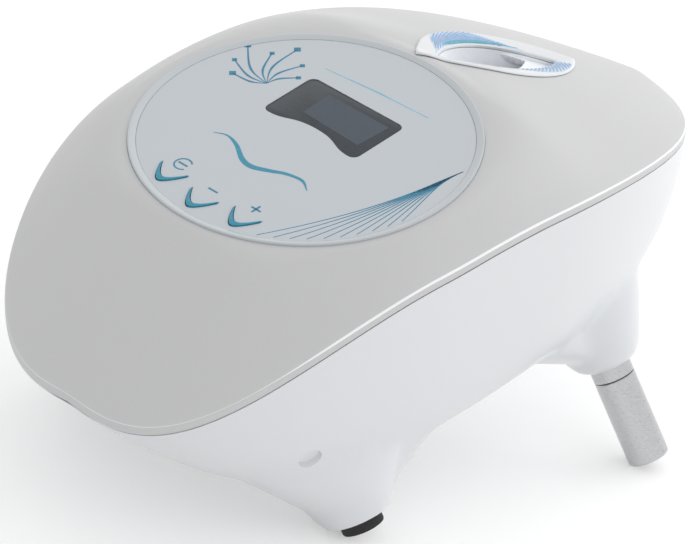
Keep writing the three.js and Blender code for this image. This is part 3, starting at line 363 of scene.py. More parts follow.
def dress(piece, material, body, *nodes):
    """Give a piece its material and body, and let it stand for CAD nodes."""
    piece.data.materials.clear()
    piece.data.materials.append(material)
    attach(piece, body)
    if nodes:
        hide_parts(*nodes)
    return piece


# Materials

COAT_ROUGHNESS, NOISE_DETAIL, NOISE_ENDS, RELIEF_DEPTH = 0.08, 4, (0.3, 0.7), 0.0002


def set_inputs(node, values):
    for key, value in values.items():
        node.inputs[key].default_value = value


def add_node(tree, kind, values=None, operation=None):
    """New shader node, with values for some of its inputs."""
    node = tree.nodes.new("ShaderNode" + kind)
    if operation:
        node.operation = operation
    set_inputs(node, values or {})
    return node


def wire(tree, *links):
    """Link nodes: each link is a node and its output, then a node and its input."""
    for source, output, target, socket in links:
        tree.links.new(source.outputs[output], target.inputs[socket])


def material(name, colour, roughness, metallic=0.0, tint=0.02, grain=900.0, bump=0.02, coat=0.0,
             rough_swing=0.04, stretch=(1, 1, 1)):
    """Principled finish whose colour, roughness and surface vary finely through noise."""
    made = bpy.data.materials.new(name)
    made.use_nodes = True
    tree = made.node_tree
    shader = tree.nodes["Principled BSDF"]
    set_inputs(shader, {"Metallic": metallic, "Coat Weight": coat, "Coat Roughness": COAT_ROUGHNESS})
    coordinates = add_node(tree, "TexCoord")
    mapping = add_node(tree, "Mapping", {"Scale": stretch})
    noise = add_node(tree, "TexNoise", {"Scale": grain, "Detail": NOISE_DETAIL})
    ramp = add_node(tree, "ValToRGB")
    for element, place, side in zip(ramp.color_ramp.elements, NOISE_ENDS, (-1, 1)):
        element.position = place
        element.color = (*[min(1, max(0, c * (1 + side * tint))) for c in colour], 1)
    limits = {"To Min": roughness - rough_swing, "To Max": roughness + rough_swing}
    spread = add_node(tree, "MapRange", limits)
    relief = add_node(tree, "Bump", {"Strength": bump, "Distance": RELIEF_DEPTH})
    wire(
        tree,
        (coordinates, "Object", mapping, "Vector"), (mapping, "Vector", noise, "Vector"),
        (noise, "Fac", ramp, "Fac"), (ramp, "Color", shader, "Base Color"),
        (noise, "Fac", spread, "Value"), (spread, "Result", shader, "Roughness"),
        (noise, "Fac", relief, "Height"), (relief, "Normal", shader, "Normal"),
    )
    return made


PEARL = material("pearl_paint", (0.515, 0.515, 0.518), 0.42, metallic=0.15, grain=2500, bump=0.03,
                 coat=0.08)
WHITE = material("gloss_white", (0.63, 0.643, 0.658), 0.3, tint=0.006, grain=2200, coat=0.2)
# The shell's white plastic painted lighter: painted light inside the cradle's well, on its ledge and in the
# socket
WHITE_WITH_PAINTED_LIGHT = material("white_painted_light", (0.86, 0.88, 0.91), 0.4, tint=0.01, grain=2200)
CLEAR = material("clear_rim", (0.47, 0.5, 0.52), 0.22, tint=0.01, grain=2200, bump=0.01, coat=0.3)
OVERLAY = material("overlay_film", (0.485, 0.515, 0.545), 0.34, tint=0.01, grain=2200, bump=0.04, coat=0.1)
GLASS = material("smoked_window", (0.024, 0.031, 0.039), 0.28, tint=0.1, grain=400, bump=0.0)
LCD = material("display_film", (0.04, 0.055, 0.075), 0.3, tint=0.06, grain=400, bump=0.01)
TEAL = material("key_teal", (0.02, 0.24, 0.35), 0.38, tint=0.1, coat=0.1)
PRINT = material("print_blue", (0.03, 0.2, 0.32), 0.42, tint=0.1, grain=400, bump=0.0)
# Light strip on the cover's corner: painted highlight, much lighter than the pearl paint, under a glossy
# coat
EDGE_HIGHLIGHT = material("painted_highlight_edge", (0.82, 0.825, 0.83), 0.15, tint=0.01, grain=2200, bump=0.01, coat=0.6)
TEAL_PALE = material("stripe_teal", (0.05, 0.31, 0.41), 0.4, tint=0.2, grain=700, bump=0.0)
WING = material("wing_pale_blue", (0.5, 0.62, 0.76), 0.4, tint=0.06, grain=300, bump=0.0)
HATCH = material("hatch_blue", (0.24, 0.36, 0.55), 0.42, tint=0.15, grain=300, bump=0.0)
PRINT_PALE = material("print_pale_blue", (0.2, 0.47, 0.62), 0.4, tint=0.15, grain=120, bump=0.0)
ALUMINIUM = material("brushed_aluminium", (0.53, 0.54, 0.55), 0.3, metallic=1.0, tint=0.12, grain=700,
                     bump=0.12, rough_swing=0.08, stretch=(1, 1, 6))
RUBBER = material("black_rubber", (0.012, 0.012, 0.014), 0.72, tint=0.3, grain=1500, bump=0.25)
BLACK = material("black_plastic", (0.012, 0.013, 0.015), 0.4, tint=0.25, grain=2200, bump=0.15)
LAMINATE = material("circuit_laminate", (0.015, 0.14, 0.07), 0.45, tint=0.25, grain=400, bump=0.08)
BRASS = material("turned_brass", (0.5, 0.36, 0.14), 0.32, metallic=1.0, tint=0.1, bump=0.08)
ZINC = material("zinc_plate", (0.45, 0.46, 0.48), 0.34, metallic=1.0, tint=0.12, bump=0.08)
ANODISED = material("anodised_black", (0.04, 0.042, 0.045), 0.42, metallic=0.8, tint=0.15, bump=0.06)
CREAM = material("cream_plastic", (0.72, 0.69, 0.6), 0.5, tint=0.05, bump=0.05)

SLOT_MATERIALS = {
    "pearl": PEARL, "white": WHITE, "overlay_grey": OVERLAY, "clear_rim": CLEAR, "slate": GLASS,
    "blue": TEAL, "brushed": ALUMINIUM, "rubber": RUBBER, "black": BLACK, "laminate": LAMINATE,
    "brass": BRASS, "zinc": ZINC, "anodised": ANODISED, "cream": CREAM,
}
for part in frame["record"]["subparts"]:
    holder = frame["nodes"][part["node"]]
    holder.data.materials.clear()
    holder.data.materials.append(SLOT_MATERIALS[part["material_slot"]])

# Top cover: the crowned skin and its rolled band, opened for the panel and the cradle

TURNS = full_turn(288)
CROWN_SHARES, EDGE_SHARES = np.linspace(0.03, 0.9, 56), np.linspace(0.915, 0.985, 8)
COVER_ROLL, ROLL_STEPS, BAND_EDGE, BAND_CORNER = 1.0, 7, 0.5, 0.15
BEAD_LEAST, BEAD_MORE, BEAD_INSET, BEAD_STEPS = 0.04, 0.3, 0.3, 10
BEAD_RUN = (-92.0, -52.0)

# How far from the cradle's mouth toward the bezel's edge the cover opens, as a share
COVER_OPENING = 0.82

# Points round the panel's circles and round the cradle's rings
PANEL_STEPS, LENS_STEPS = 192, 160


def cover_ring(share, inset=0.0, below=0.0):
    x, y = outline(TURNS, inset, share)
    return np.stack([x, y, top_height(x, y) - below], -1)


def on_cradle(across, run, share=1.0):
    """Plan point across and along the cradle, moved by a share of its shift."""
    x = CRADLE_SHIFT[0] * share + across * cos(CRADLE_TURN) - run * sin(CRADLE_TURN)
    y = CRADLE_Y + CRADLE_SHIFT[1] * share + across * sin(CRADLE_TURN) + run * cos(CRADLE_TURN)
    return x, y


def lens_ring(size, height, share=1.0):
    """Ring of the cradle's lens outline, lying at a height or on a height function."""
    turn = full_turn(LENS_STEPS)
    across = size[1] * np.sign(np.cos(turn)) * np.abs(np.cos(turn)) ** LENS_POWER
    x, y = on_cradle(across, size[0] * np.sin(turn), share)
    z = height(x, y) if callable(height) else np.full(LENS_STEPS, height)
    return np.stack([x, y, z], -1)


def bezel_size(share):
    """Lens a share of the way from the cradle's mouth out to the bezel's edge."""
    return np.array(MOUTH) + (np.array(BEZEL) - MOUTH) * share


def rod(radius, low, high):
    """Profile of a solid round rod."""
    return [(0, low), (radius, low), (radius, high), (0, high)]


def disc_cutter(radius, low, high, x=0.0, y=0.0, place=Matrix(), count=64):
    return lathe("cutter", rod(radius, low, high), place @ Matrix.Translation((x, y, 0)), count)


def lens_cutter(size):
    heights = (TIP_OVERRUN, -LENS_CUT)
    return skin("cutter", [lens_ring(size, z) for z in heights], *[(0, CRADLE_Y, z) for z in heights])


def make_cover():
    shares = np.concatenate([CROWN_SHARES, EDGE_SHARES])
    rings = [cover_ring(s) for s in shares]
    for a in np.linspace(0, pi / 2, ROLL_STEPS):
        rings.append(cover_ring(1, COVER_ROLL * (1 - sin(a)), COVER_ROLL * (1 - cos(a))))
    band = [(0, COVER_BAND - BAND_EDGE), (BAND_CORNER, COVER_BAND - BAND_CORNER), (BAND_EDGE, COVER_BAND),
            (BAND_WIDTH, COVER_BAND), (BAND_WIDTH, COVER_WALL)]
    rings += [cover_ring(1, inset, below) for inset, below in band]
    # The underside follows every third ring, from the edge in
    rings += [cover_ring(s, 0, COVER_WALL) for s in shares[::-3]]
    middle = np.array([0, WIDEST_Y, 0.0])
    cover = skin("cover_skin", rings, middle, middle - (0, 0, COVER_WALL))
    opening = disc_cutter(RIM_OUTER + SEAM_SHOWN / 2, -RECESS, OVERRUN, count=PANEL_STEPS)
    carve(cover, opening, lens_cutter(bezel_size(COVER_OPENING)))
    dress(cover, PEARL, "housing", "top_cover")

    # Light strip along the band's corner, fading out round the nose: a painted highlight, under a glossy
    # coat
    lip = BEAD_LEAST + BEAD_MORE * smooth(*BEAD_RUN, outline(TURNS, 0)[1])
    rings = []
    for a in full_turn(BEAD_STEPS):
        x, y = outline(TURNS, BEAD_INSET - lip * sin(a))
        rings.append(np.stack([x, y, top_height(x, y) - BEAD_INSET + lip * cos(a)], -1))
    dress(skin("cover_edge_highlight_strip", rings, closed=True), EDGE_HIGHLIGHT, "housing")


# Lower shell: hull, flared bosses and webs, melted into one smooth surface

BOSS_LOW = [(9.6, -1.0), (12.6, 1.0), (15.4, 6.0), (16.4, 9.5)]
BOSS_BEND, ROOT_DEPTH, ROOT_RADIUS, BOSS_STEPS = 20.0, 64.0, 14.0, 72
FLARE_INSET, FLARE_DEPTH, FLARE_POWER = 40.8, 80.0, 1.25
FLARE_SHARES = np.linspace(0.12, 1, 10)
WEB_START, WEB_RADII, WEB_REACH, WEB_INSET, WEB_SINK = 9.5, (9.6, 13.0), 52.0, 27.0, 1.0
HULL_STEPS, HULL_LID = 240, 2.0
HULL_SHARES = np.append(np.linspace(0, 0.9, 24), [0.93, 0.96, 0.98, 0.992, 1])
VOXEL, MELT_FACTOR, MELT_ROUNDS, SHELL_CREASE = 1.5, 0.5, 26, 60

# Cutters of the shell: the air above its rim, and its hollow
AIR_HALF, AIR_TOP = 110.0, 30.0
CAVITY_STEPS, CAVITY_LID = 160, 20.0
CAVITY_SHARES = [0, 0.15, 0.3, 0.45, 0.6, 0.7, 0.8, 0.88, 0.94, 0.98, 1]

# How far the front feet end short of the solid's, so that the pads show as in the photograph
FOOT_TRIM, FOOT_REACH = 2.0, 22.0
SEAT_GAP, SEAT_TOP = 0.25, FOOT_TRIM + 1.0

# Round recess in the wall: radius and height over the wall
JACK_RECESS = [(0, -1.5), (3.9, -1.5), (4.2, -0.9), (5, 1.2), (5, TIP_OVERRUN), (0, TIP_OVERRUN)]

# Socket in the recess, from its hidden end out to its face and back into its bore
JACK_SOCKET = [(0, -16.5), (3.6, -16.5), (3.6, -1.75), (3.4, -1.55), (2.5, -1.55), (2.3, -1.75),
               (2.3, -13), (0, -13)]

leg_places = [(sign, leg, leg_frame(sign, leg)) for leg in (FRONT_LEG, REAR_LEG) for sign in (-1, 1)]


def ellipse(place, across, along):
    turn = full_turn(BOSS_STEPS)
    flat = np.stack([across * np.cos(turn), along * np.sin(turn), 0 * turn, 0 * turn + 1], -1)
    return (flat @ np.array(place).T)[:, :3]


def boss_body(sign, leg, place):
    """Boss, round at its face, that flares into the hull's floor and wall."""
    neck = BOSS_LOW[-1][0]
    start, bend = (place @ Vector((0, 0, h)) for h in (BOSS_LOW[-1][1], BOSS_BEND))
    end = Vector((sign * (HALF_WIDTH - FLARE_INSET), leg["y"], -FLARE_DEPTH))
    rings = [ellipse(place @ Matrix.Translation((0, 0, h)), r, r) for r, h in BOSS_LOW]
    for share in FLARE_SHARES:
        at = (1 - share) ** 2 * start + 2 * share * (1 - share) * bend + share ** 2 * end
        turned = Matrix.Translation(at) @ Matrix.Rotation(-sign * SPLAY * (1 - share), 4, "Y")
        across, along = (neck + (reach - neck) * share ** FLARE_POWER for reach in leg["flare"])
        rings.append(ellipse(turned, across, along))
    root = Vector((end.x, end.y, -ROOT_DEPTH))
    rings.append(ellipse(Matrix.Translation(root), ROOT_RADIUS, ROOT_RADIUS))
    return skin("boss", rings, place @ Vector((0, 0, BOSS_LOW[0][1])), root)


def web_body(sign, leg, place):
    """Web from a boss toward the other leg on its side, thicker where it meets the hull."""
    start = place @ Vector((0, 0, WEB_START))
    toward = WEB_REACH if leg is FRONT_LEG else -WEB_REACH
    end = Vector((sign * (HALF_WIDTH - WEB_INSET), leg["y"] + toward, WEB_RADII[1] - WEB_SINK - SHELL_DEPTH))
    facing = (end - start).to_track_quat("Z", "Y").to_matrix().to_4x4()
    rings = [ellipse(Matrix.Translation(at) @ facing, r, r) for at, r in zip((start, end), WEB_RADII)]
    return skin("web", rings, start, end)


def lidded(name, rings, top, low):
    """Body through rings of the wall, under a flat lid."""
    lid = rings[0].copy()
    lid[:, 2] = top
    return skin(name, [lid, *rings], (0, WIDEST_Y, top), (0, WIDEST_Y, low))


def hull_body():
    turn = full_turn(HULL_STEPS)
    return lidded("hull", [wall_point(turn, share) for share in HULL_SHARES], HULL_LID, -SHELL_DEPTH)


def body_surface():
    """Hull, bosses and webs remeshed as one skin and smoothed."""
    parts = [hull_body()] + [make(*leg) for leg in leg_places for make in (boss_body, web_body)]
    piece = join("lower_shell_skin", parts)
    voxels = piece.modifiers.new("voxels", "REMESH")
    voxels.mode, voxels.voxel_size, voxels.use_smooth_shade = "VOXEL", VOXEL * MM, True
    melt = piece.modifiers.new("melt", "SMOOTH")
    melt.factor, melt.iterations = MELT_FACTOR, MELT_ROUNDS
    settle(piece, SHELL_CREASE)
    return piece


def rim_cutter():
    """The air above the shell's rim."""
    y = np.linspace(-FRONT_TIP - TIP_OVERRUN, BACK_TIP + TIP_OVERRUN, HULL_STEPS)
    inner = np.clip(y, -FRONT_TIP, BACK_TIP)
    z = edge_height(inner) - COVER_BAND - SEAM_SHOWN
    y, z = np.append(y, [y[-1], y[0]]), np.append(z, [AIR_TOP, AIR_TOP])
    count = len(y)
    points = np.concatenate([np.stack([np.full(count, x), y, z], -1) for x in (-AIR_HALF, AIR_HALF)])
    faces = [*belt(range(count), count), range(count), range(2 * count - 1, count - 1, -1)]
    return new_object("cutter", points, faces)


def cavity_cutter():
    turn = full_turn(CAVITY_STEPS)
    rings = [wall_point(turn, share, SHELL_WALL, SHELL_WALL) for share in CAVITY_SHARES]
    return lidded("cutter", rings, CAVITY_LID, SHELL_WALL - SHELL_DEPTH)


def jack_frame():
    """Frame on the wall at the handpiece socket, with z out of the wall."""
    at, ahead, lower = (wall_point(np.array([JACK_TURN + turn]), JACK_SHARE + share)[0]
                        for turn, share in ((0, 0), (JACK_STEP, 0), (0, JACK_STEP)))
    out = Vector(lower - at).cross(Vector(ahead - at)).normalized()
    right = Vector((0, 0, 1)).cross(out).normalized()
    basis = Matrix((right, out.cross(right), out)).transposed().to_4x4()
    return Matrix.Translation(at) @ basis


JACK = jack_frame()


def make_lower_shell():
    shell = body_surface()
    carve(shell, rim_cutter())
    carve(shell, cavity_cutter())
    wells = [disc_cutter(WELL_RADIUS, -SHELL_DEPTH - OVERRUN, -depth, x, y, count=32)
             for x, y, depth in CASE_WELLS]
    fronts = [place for _, leg, place in leg_places if leg is FRONT_LEG]
    below = -2 * OVERRUN
    carve(shell, *[disc_cutter(FOOT_REACH, below, FOOT_TRIM, place=place, count=96) for place in fronts])
    seats = [disc_cutter(LEG_RADIUS + SEAT_GAP, -OVERRUN, SEAT_TOP, place=place) for place in fronts]
    carve(shell, block("cutter", *BAY), lathe("cutter", JACK_RECESS, JACK, 64), *wells, *seats)
    dress(shell, WHITE, "housing", "lower_shell")


# Panel: clear rim, printed film, smoked window and keys

# Section of the rim: distance in from its outer edge or out from its inner edge, and height
RIM_OUTSIDE = [(0, 0.5), (0.12, 0.78), (0.4, RIM_TOP), (0.7, RIM_TOP), (1.0, 0.8)]
RIM_INSIDE = [(0.2, 0.32), (0, 0.2)]

# Depths below the film's face of the glass and of the screen's back and front
GLASS_SINK, SCREEN_BACK, SCREEN_FRONT = 0.2, 0.5, 0.14
SCREEN = [(-11.5, 10.5), (16.5, 9.0), (17.5, 24.5), (-11.8, 24.5)]

CAP_LOW, CAP_EDGE, CAP_CREASE, GLASS_EDGE = -1.0, 0.2, 25, 0.15
STEM_RADIUS, STEM_LOW, STEM_TOP = 1.0, -6.5, -0.95
BOW_STEPS, SPLINE_STEPS = 10, 12


def circle(radius):
    return [(radius * cos(a), radius * sin(a)) for a in full_turn(PANEL_STEPS)]


def arc(cx, cy, radius, start, end, steps=8):
    angles = [radians(start + (end - start) * i / steps) for i in range(steps + 1)]
    return [(cx + radius * cos(a), cy + radius * sin(a)) for a in angles]


def bezier(a, b, c, d, steps=16):
    found = []
    for i in range(steps + 1):
        t = i / steps
        weights = ((1 - t) ** 3, 3 * t * (1 - t) ** 2, 3 * t ** 2 * (1 - t), t ** 3)
        found.append(tuple(sum(w * p[k] for w, p in zip(weights, (a, b, c, d))) for k in (0, 1)))
    return found


def window_outline(margin):
    """Rounded window whose lower edge rises in the middle."""
    left, right, low, high = (edge + side * margin for edge, side in zip(WINDOW, (1, -1, 1, -1)))
    r, wave = WINDOW_CORNER, WINDOW_WAVE
    middle, quarter = (left + right) / 2, (right - left) / 4
    crest = (middle, low + wave)
    points = bezier((left + r, low), (left + quarter, low), (left + quarter, low + wave), crest)
    points += bezier(crest, (right - quarter, low + wave), (right - quarter, low), (right - r, low))[1:]
    points += arc(right - r, low + r, r, -90, 0)[1:] + arc(right - r, high - r, r, 0, 90)
    points += arc(left + r, high - r, r, 90, 180) + arc(left + r, low + r, r, 180, 270)[:-1]
    return points


def bow(a, b, c):
    """Points of a quadratic curve, without its last."""
    found = []
    for i in range(BOW_STEPS):
        t = i / BOW_STEPS
        found.append(tuple((1 - t) ** 2 * a[k] + 2 * t * (1 - t) * b[k] + t * t * c[k] for k in (0, 1)))
    return found


def key_outline(x, y, margin):
    """Bowed bar with raised, blunt ends."""
    reach = KEY_SPAN / 2 + margin
    rate = KEY_RISE / (KEY_SPAN / 2)
    grow = margin * hypot(1, rate)
    tip = y + rate * reach
    low, high, thin = y - KEY_STROKE / 2 - grow, y + KEY_STROKE / 2 + grow, KEY_TIP / 2 + grow
    points = []
    for side, edge, corner in ((-1, low, tip - thin), (1, high, tip + thin)):
        end = (x - side * reach, corner)
        points += bow((x + side * reach, corner), (x + side * KEY_BEND, edge), (x, edge))
        points += bow((x, edge), (x - side * KEY_BEND, edge), end) + [end]
    return points


def key_centres():
    for i, name in enumerate(("left", "middle", "right")):
        x = KEY_OFFSET + (i - 1) * KEY_SPACING
        yield name, x, -sqrt(KEY_RING ** 2 - x ** 2)


def make_panel():
    low = GAP - RECESS
    section = [(RIM_INNER, low), (RIM_OUTER, low)]
    section += [(RIM_OUTER - inset, height) for inset, height in RIM_OUTSIDE]
    section += [(RIM_INNER + outset, height) for outset, height in RIM_INSIDE]
    dress(lathe("panel_rim_ring", section, Matrix(), PANEL_STEPS), CLEAR, "housing", "panel_rim")
    holes = [window_outline(-SEAM_SHOWN / 2)] + [key_outline(x, y, GAP) for _, x, y in key_centres()]
    film = plate("panel_film", circle(RIM_INNER - SEAM_SHOWN / 2), low, FACE, holes)
    dress(film, OVERLAY, "housing", "panel_overlay")
    window = plate("display_glass", window_outline(0), low, FACE - GLASS_SINK)
    rounded(window, GLASS_EDGE, 2)
    dress(window, GLASS, "housing", "display_window")
    dress(plate("display_screen", SCREEN, FACE - SCREEN_BACK, FACE - SCREEN_FRONT), LCD, "housing")
    for name, x, y in key_centres():
        cap = plate(f"key_cap_{name}", key_outline(x, y, 0), CAP_LOW, KEY_PROUD)
        rounded(cap, CAP_EDGE, 2, CAP_CREASE)
        profile = rod(STEM_RADIUS, STEM_LOW, STEM_TOP)
        stem = lathe(f"key_stem_{name}", profile, Matrix.Translation((x, y, 0)), 24)
        dress(stem, TEAL, f"key_{name}")
        dress(cap, TEAL, f"key_{name}", f"key_{name}")


# Prints: thin inlays on the film and the bezel. Widths run from a stroke's start to its end.

INK = 0.06

WAVE = [(-26, -20.6), (-21, -18.6), (-14.7, -20.4), (-7.2, -25.1), (-1.7, -26.0), (4.5, -23.5),
        (10, -20.8), (16.9, -19.8), (22.1, -22.8)]
WAVE_WIDTHS = [0.2, 0.7, 1.5, 2.1, 2.3, 1.9, 1.5, 1.2, 0.3]

# Fan of lines: start, bends, and the angles at which they reach the rim
FAN_ROOT, FAN_PULL, FAN_BEND, FAN_BEND_STEP = (54.4, 23.0), (51.8, 12.0), (49.5, -13.0), (0.55, 2.4)
FAN_LINES, FAN_RADIUS, FAN_ANGLE, FAN_ANGLE_STEP = 10, 59.6, -63.0, 5.6
FAN_WIDTHS = [0.3, 0.75, 0.5, 0.34, 0.26]

# Spray: angle and length of each ray, and half the length of its lozenge, by turns
SPRAY_ROOT, SPRAY_LEAN, SPRAY_BEND = (-33.0, 14.0), 0.16, 0.4
SPRAY_RAYS = [(172, 19), (150, 25), (128, 19), (106, 24), (84, 17), (196, 14), (60, 12)]
RAY_WIDTHS, TIP_HALVES, TIP_POINT, TIP_SHAPE = [0.2, 0.9, 0.5], (1.25, 1.7), 0.1, 2.1

RULE, RULE_WIDTHS = [(-24, 35.4), (0, 37.6), (24, 38.4)], [0.2, 0.7, 0.2]
SIGN_LIFT, SIGN_HALF, SIGN_RADIUS, BAR_WIDTHS, RING_WIDTHS = 11.5, 2.2, 3.2, [0.8, 0.8], [0.6, 0.6]


def stroke(name, centre, widths, ink, height=FACE):
    """Tapered stroke along points, lying on the film or on a height function."""
    centre = np.array(centre, float)
    widths = np.interp(np.linspace(0, 1, len(centre)), np.linspace(0, 1, len(widths)), widths)
    along = np.gradient(centre, axis=0)
    along /= np.linalg.norm(along, axis=1)[:, None]
    normal = np.stack([-along[:, 1], along[:, 0]], -1) * widths[:, None] / 2
    sides = np.concatenate([centre + normal, (centre - normal)[::-1]])
    level = height(sides[:, 0], sides[:, 1]) if callable(height) else np.full(len(sides), height)
    n, count = len(centre), len(sides)
    points = [(*p, z + lift) for lift in (INK, -INK) for p, z in zip(sides, level)]
    faces = []
    for i in range(n - 1):
        quad = (i, i + 1, count - 2 - i, count - 1 - i)
        faces += [quad, tuple(count + q for q in reversed(quad))]
    faces += belt(range(count), count)
    return dress(new_object(name, points, faces), ink, "housing")


def merged(name, pieces):
    """Join printed strokes of one ink into one piece."""
    ink = pieces[0].data.materials[0]
    return dress(join(name, pieces), ink, "housing")


def spline(points):
    """Smooth curve through points."""
    points = [np.array(p, float) for p in points]
    ends = [2 * points[0] - points[1], *points, 2 * points[-1] - points[-2]]
    found = []
    for a, b, c, d in zip(ends, ends[1:], ends[2:], ends[3:]):
        for t in np.arange(SPLINE_STEPS) / SPLINE_STEPS:
            found.append(b + (c - a) * t / 2 + (2 * a - 5 * b + 4 * c - d) * t ** 2 / 2
                         + (3 * b - a - 3 * c + d) * t ** 3 / 2)
    return [*found, points[-1]]


def make_prints():
    stroke("print_wave", spline(WAVE), WAVE_WIDTHS, TEAL)

    # Fan of fine lines from the right of the window down to the rim
    fan = []
    for i in range(FAN_LINES):
        turn = radians(FAN_ANGLE + FAN_ANGLE_STEP * i)
        end = (FAN_RADIUS * cos(turn), FAN_RADIUS * sin(turn))
        bend = [start + step * i for start, step in zip(FAN_BEND, FAN_BEND_STEP)]
        fan.append(stroke("line", bezier(FAN_ROOT, FAN_PULL, bend, end, 28), FAN_WIDTHS, PRINT))
    merged("print_fan", fan)

    # Spray of bowed rays ending in small lozenges, at the left of the window
    rays = []
    for i, (angle, length) in enumerate(SPRAY_RAYS):
        way = np.array([cos(radians(angle)), sin(radians(angle))])
        end = SPRAY_ROOT + length * way
        lean = np.array([-way[1], way[0]]) * length * SPRAY_LEAN
        bend = SPRAY_ROOT + (end - SPRAY_ROOT) * SPRAY_BEND + lean
        rays.append(stroke("ray", bezier(SPRAY_ROOT, bend, bend, end, 14), RAY_WIDTHS, PRINT))
        half = TIP_HALVES[i % 2]
        rays.append(stroke("tip", [end - (half, 0), end, end + (half, 0)],
                           [TIP_POINT, TIP_SHAPE * half, TIP_POINT], PRINT))
    merged("print_spray", rays)

    # A plain ruled line above the window, and a sign at each key
    stroke("print_rule", RULE, RULE_WIDTHS, PRINT_PALE)
    signs = []
    for name, x, y in key_centres():
        base, half = y + SIGN_LIFT, SIGN_HALF
        signs.append(stroke("sign", [(x - half, base), (x + half, base)], BAR_WIDTHS, PRINT))
        if name == "right":
            signs.append(stroke("sign", [(x, base - half), (x, base + half)], BAR_WIDTHS, PRINT))
        if name == "left":
            signs.append(stroke("sign", arc(x, base, SIGN_RADIUS, 40, 320, 20), RING_WIDTHS, PRINT))
    merged("print_signs", signs)


# Cradle: dished bezel on the cover, and the well below it. Lifts are heights over the cradle's surface.

DISH_SHARES = [0, 0.04, 0.12, 0.86, 0.93, 0.98, 1]
DISH_LIFTS = [-1.9, -1.5, -1.1, 0.72, 0.7, 0.4, 0]
UNDER = -3.2

# Rings of the bezel: shares from its edge in, then shares and lifts back out below it
BEZEL_TOPS = np.concatenate([[1, 0.99, 0.975, 0.95, 0.92, 0.88], np.linspace(0.82, 0.14, 10),
                             [0.1, 0.06, 0.03, 0.01, 0]])
BEZEL_UNDERS = [(0.5, -2.0), (0.79, -1.4), (0.79, -0.1)]
BEZEL_CREASE = 50

# Well: thickness, rounding at its floor, and how far inside its ends the rings of its wall lie
CUP_WALL, CUP_CORNER, CUP_BLEND, CUP_LEVELS = 2.0, [(2.0, 0.0), (0.6, 0.4)], 2.0, 14

SHARE_LIMITS, SHARE_ROUNDS = (-0.5, 1.5), 24

# Bands on the bezel, by side: name, slant of the hatch, and the runs at which the band starts, ends,
# is at its full width and begins to narrow
WINGS = {-1: ("left", 0.6, (-0.95, 0.66, -0.42, 0.0)), 1: ("right", -0.42, (-0.2, 0.95, 0.5, 0.78))}
WING_BASE, WING_WIDTH, WING_THIN, WING_NARROWING = 0.08, 0.84, 0.03, 0.96
HATCH_PITCH, HATCH_MARGIN, HATCH_END, HATCH_LEAST = 0.078, 0.03, 0.02, 4
HATCH_WIDTHS = [0.3, 0.95, 0.8, 0.3]
STRIPE_RUNS, STRIPE_MIDDLE, STRIPE_WIDTH, STRIPE_NARROWING = (-0.66, 0.6, -0.4, 0.1), 0.16, 0.19, 0.9
WING_RISE, HATCH_RISE, STRIPE_RISE = 0.1, 0.17, 0.24


def cradle_surface(x, y):
    return top_height(x, y) + GAP


def bezel_point(side, run, share):
    """Plan point on a side of the bezel, a share of the way from the mouth out."""
    length, width = bezel_size(share)
    return on_cradle(side * width * max(0.0, 1 - run * run) ** (LENS_POWER / 2), length * run)


def bezel_share(x, y):
    """How far out a plan point lies, from the mouth's edge at zero to the bezel's edge at one."""
    dx, dy = x - CRADLE_SHIFT[0], y - CRADLE_Y - CRADLE_SHIFT[1]
    across = np.abs(dx * cos(CRADLE_TURN) + dy * sin(CRADLE_TURN))
    run = np.abs(-dx * sin(CRADLE_TURN) + dy * cos(CRADLE_TURN))
    low, high = (np.full(np.shape(x), limit) for limit in SHARE_LIMITS)
    for _ in range(SHARE_ROUNDS):
        middle = (low + high) / 2
        length, width = (mouth + (edge - mouth) * middle for mouth, edge in zip(MOUTH, BEZEL))
        outside = (across / width) ** (2 / LENS_POWER) + (run / length) ** 2 > 1
        low, high = np.where(outside, middle, low), np.where(outside, high, middle)
    return (low + high) / 2


def bezel_height(x, y):
    return cradle_surface(x, y) + np.interp(bezel_share(x, y), DISH_SHARES, DISH_LIFTS)


def make_cradle():
    inner, foot = np.array(MOUTH), np.array(CUP_FOOT)

    def ring(size, lift):
        return lens_ring(size, lambda x, y: cradle_surface(x, y) + lift)

    rings = [ring(bezel_size(share), np.interp(share, DISH_SHARES, DISH_LIFTS)) for share in BEZEL_TOPS]
    rings.append(ring(inner, UNDER + GAP))
    rings += [ring(bezel_size(share), lift) for share, lift in BEZEL_UNDERS]
    dress(skin("cradle_rim", rings, closed=True, crease=BEZEL_CREASE), WHITE, "housing", "cradle_bezel")

    floor = CUP_FLOOR - CUP_DEPTH
    rings = [lens_ring(foot - inset, floor + rise, share=0) for inset, rise in CUP_CORNER]
    for t in np.linspace(0, 1, CUP_LEVELS):
        size = foot + (inner - foot) * t
        top, base = ring(size, UNDER - CUP_BLEND), lens_ring(size, floor + CUP_BLEND, share=0)
        rings.append(base + (top - base) * t)
    rings += [ring(inner, UNDER), ring(inner + CUP_WALL, UNDER)]
    rings.append(lens_ring(foot + CUP_WALL, -CUP_DEPTH, share=0))
    well = skin("cradle_well", rings, (0, CRADLE_Y, floor), (0, CRADLE_Y, -CUP_DEPTH))
    dress(well, WHITE_WITH_PAINTED_LIGHT, "housing", "cradle_cup")
    make_ledge()
    make_wings()


